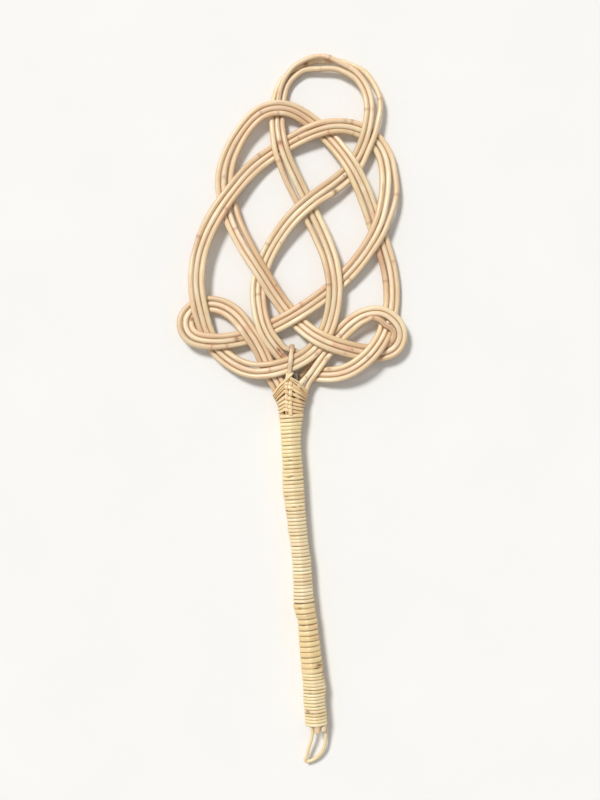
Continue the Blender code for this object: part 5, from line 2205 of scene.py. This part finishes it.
@dataclass(frozen=True)
class Studio:
    """The pale floor, the soft light and the camera over the middle of the picture."""

    picture_height: int = 800
    pixel: float = 0.001006
    middle_across: float = 0.00786
    middle_along: float = 0.00896
    camera_height: float = 1.15
    middle_height: float = 0.011
    floor_size: float = 6.0
    floor_drop: float = 0.0001
    floor_shades: tuple[Steps, Steps] = ((240, 239, 236), (244, 243, 240))
    floor_grain: float = 9.0
    floor_roughness: float = 0.9
    sensor_width: float = 36.0
    world_share: float = 0.42
    key_share: float = 0.645
    key_turn: float = math.radians(128.0)
    key_rise: float = math.radians(55.0)
    key_softness: float = math.radians(14.0)

    def build(self) -> None:
        """Build the floor, the light and the camera."""
        self._floor()
        self._light()
        self._camera()

    def _floor(self) -> None:
        """Lay a pale sheet under the beater."""
        half = self.floor_size / 2.0
        signs = ((-1.0, -1.0), (1.0, -1.0), (1.0, 1.0), (-1.0, 1.0))
        corners = [(half * x, half * y, -self.floor_drop) for x, y in signs]
        mesh = bpy.data.meshes.new("floor")
        mesh.from_pydata(corners, [], [(0, 1, 2, 3)])
        floor = bpy.data.objects.new("floor", mesh)
        bpy.context.scene.collection.objects.link(floor)
        made, graph, shader = start_material("pale_floor")
        place = graph.node("ShaderNodeTexCoord").outputs["Object"]
        shades = (tint(*steps) for steps in self.floor_shades)
        shade = graph.mix(graph.noise(place, self.floor_grain), *shades)
        graph.feed(shader, {"Base Color": shade, "Roughness": self.floor_roughness})
        mesh.materials.append(made)

    def _light(self) -> None:
        """Light the scene from all round, with a soft key from the upper left.

        A level white surface gets the two shares' sum: a sun of strength pi times its share
        over the sine of its rise lights it by that share.
        """
        scene = bpy.context.scene
        scene.world = scene.world or bpy.data.worlds.new("studio")
        scene.world.use_nodes = True
        graph = Graph(scene.world.node_tree)
        background, end = (graph.tree.nodes[name] for name in ("Background", "World Output"))
        graph.feed(background, {"Color": (1.0, 1.0, 1.0, 1.0), "Strength": self.world_share})
        shade = tint(*self.floor_shades[1])
        backdrop = graph.node("ShaderNodeBackground", {"Color": shade, "Strength": 1.0})
        path = graph.node("ShaderNodeLightPath").outputs
        seen = graph.math("MAXIMUM", path["Is Camera Ray"], path["Is Glossy Ray"])
        seen = graph.math("MAXIMUM", seen, path["Is Transmission Ray"])
        inputs = {0: seen, 1: background.outputs[0], 2: backdrop.outputs[0]}
        graph.feed(end, {"Surface": graph.node("ShaderNodeMixShader", inputs).outputs[0]})
        sun = bpy.data.lights.new("key", "SUN")
        sun.energy = math.pi * self.key_share / math.sin(self.key_rise)
        sun.angle = self.key_softness
        lamp = bpy.data.objects.new("key", sun)
        lamp.rotation_euler = (math.pi / 2.0 - self.key_rise, 0.0, self.key_turn + math.pi / 2.0)
        scene.collection.objects.link(lamp)

    def _camera(self) -> None:
        """Look straight down, so that a pixel spans the same length as in the picture."""
        data = bpy.data.cameras.new("camera")
        away = self.camera_height - self.middle_height
        data.sensor_width = self.sensor_width
        data.lens = data.sensor_width * away / (self.picture_height * self.pixel)
        camera = bpy.data.objects.new("camera", data)
        camera.location = (self.middle_across, self.middle_along, self.camera_height)
        bpy.context.scene.collection.objects.link(camera)
        bpy.context.scene.camera = camera


def main() -> None:
    """Work out the weave, build every piece and light the scene."""
    logging.basicConfig(level=logging.INFO, format="%(name)s: %(message)s")
    groups = EffectGroups()
    handle = Handle(SIZES)
    band = Band(SIZES, handle)
    strands = band.strands()
    weave = Weave(SIZES, strands)
    weave.settle()
    loop = HangingLoop(SIZES, handle)
    seat = loop.seat(band)
    log.info("seat %s mm", np.round(seat / MILLIMETRE, 3))
    weave.droop(SIZES.clearance - seat[2])
    canes = Canes(SIZES, handle, band, strands, seat)
    skins = [skin.material(groups) for skin in CANE_SKINS]
    canes.build(skins, seat)
    Splinters().build(canes, skins, seat)
    girth = Girth(SIZES, handle, strands)
    Bindings(handle, girth, seat).build(BINDINGS, groups)
    ThroatLashing(SIZES, girth, canes.runs, seat).build(groups)
    CoreStick().build(strands[-1], seat)
    TieStrap(SIZES, canes.runs).build(groups, seat)
    loop.build(groups, seat)
    Studio().build()
    bpy.context.scene.view_settings.view_transform = "Standard"


if __name__ == "__main__":
    main()
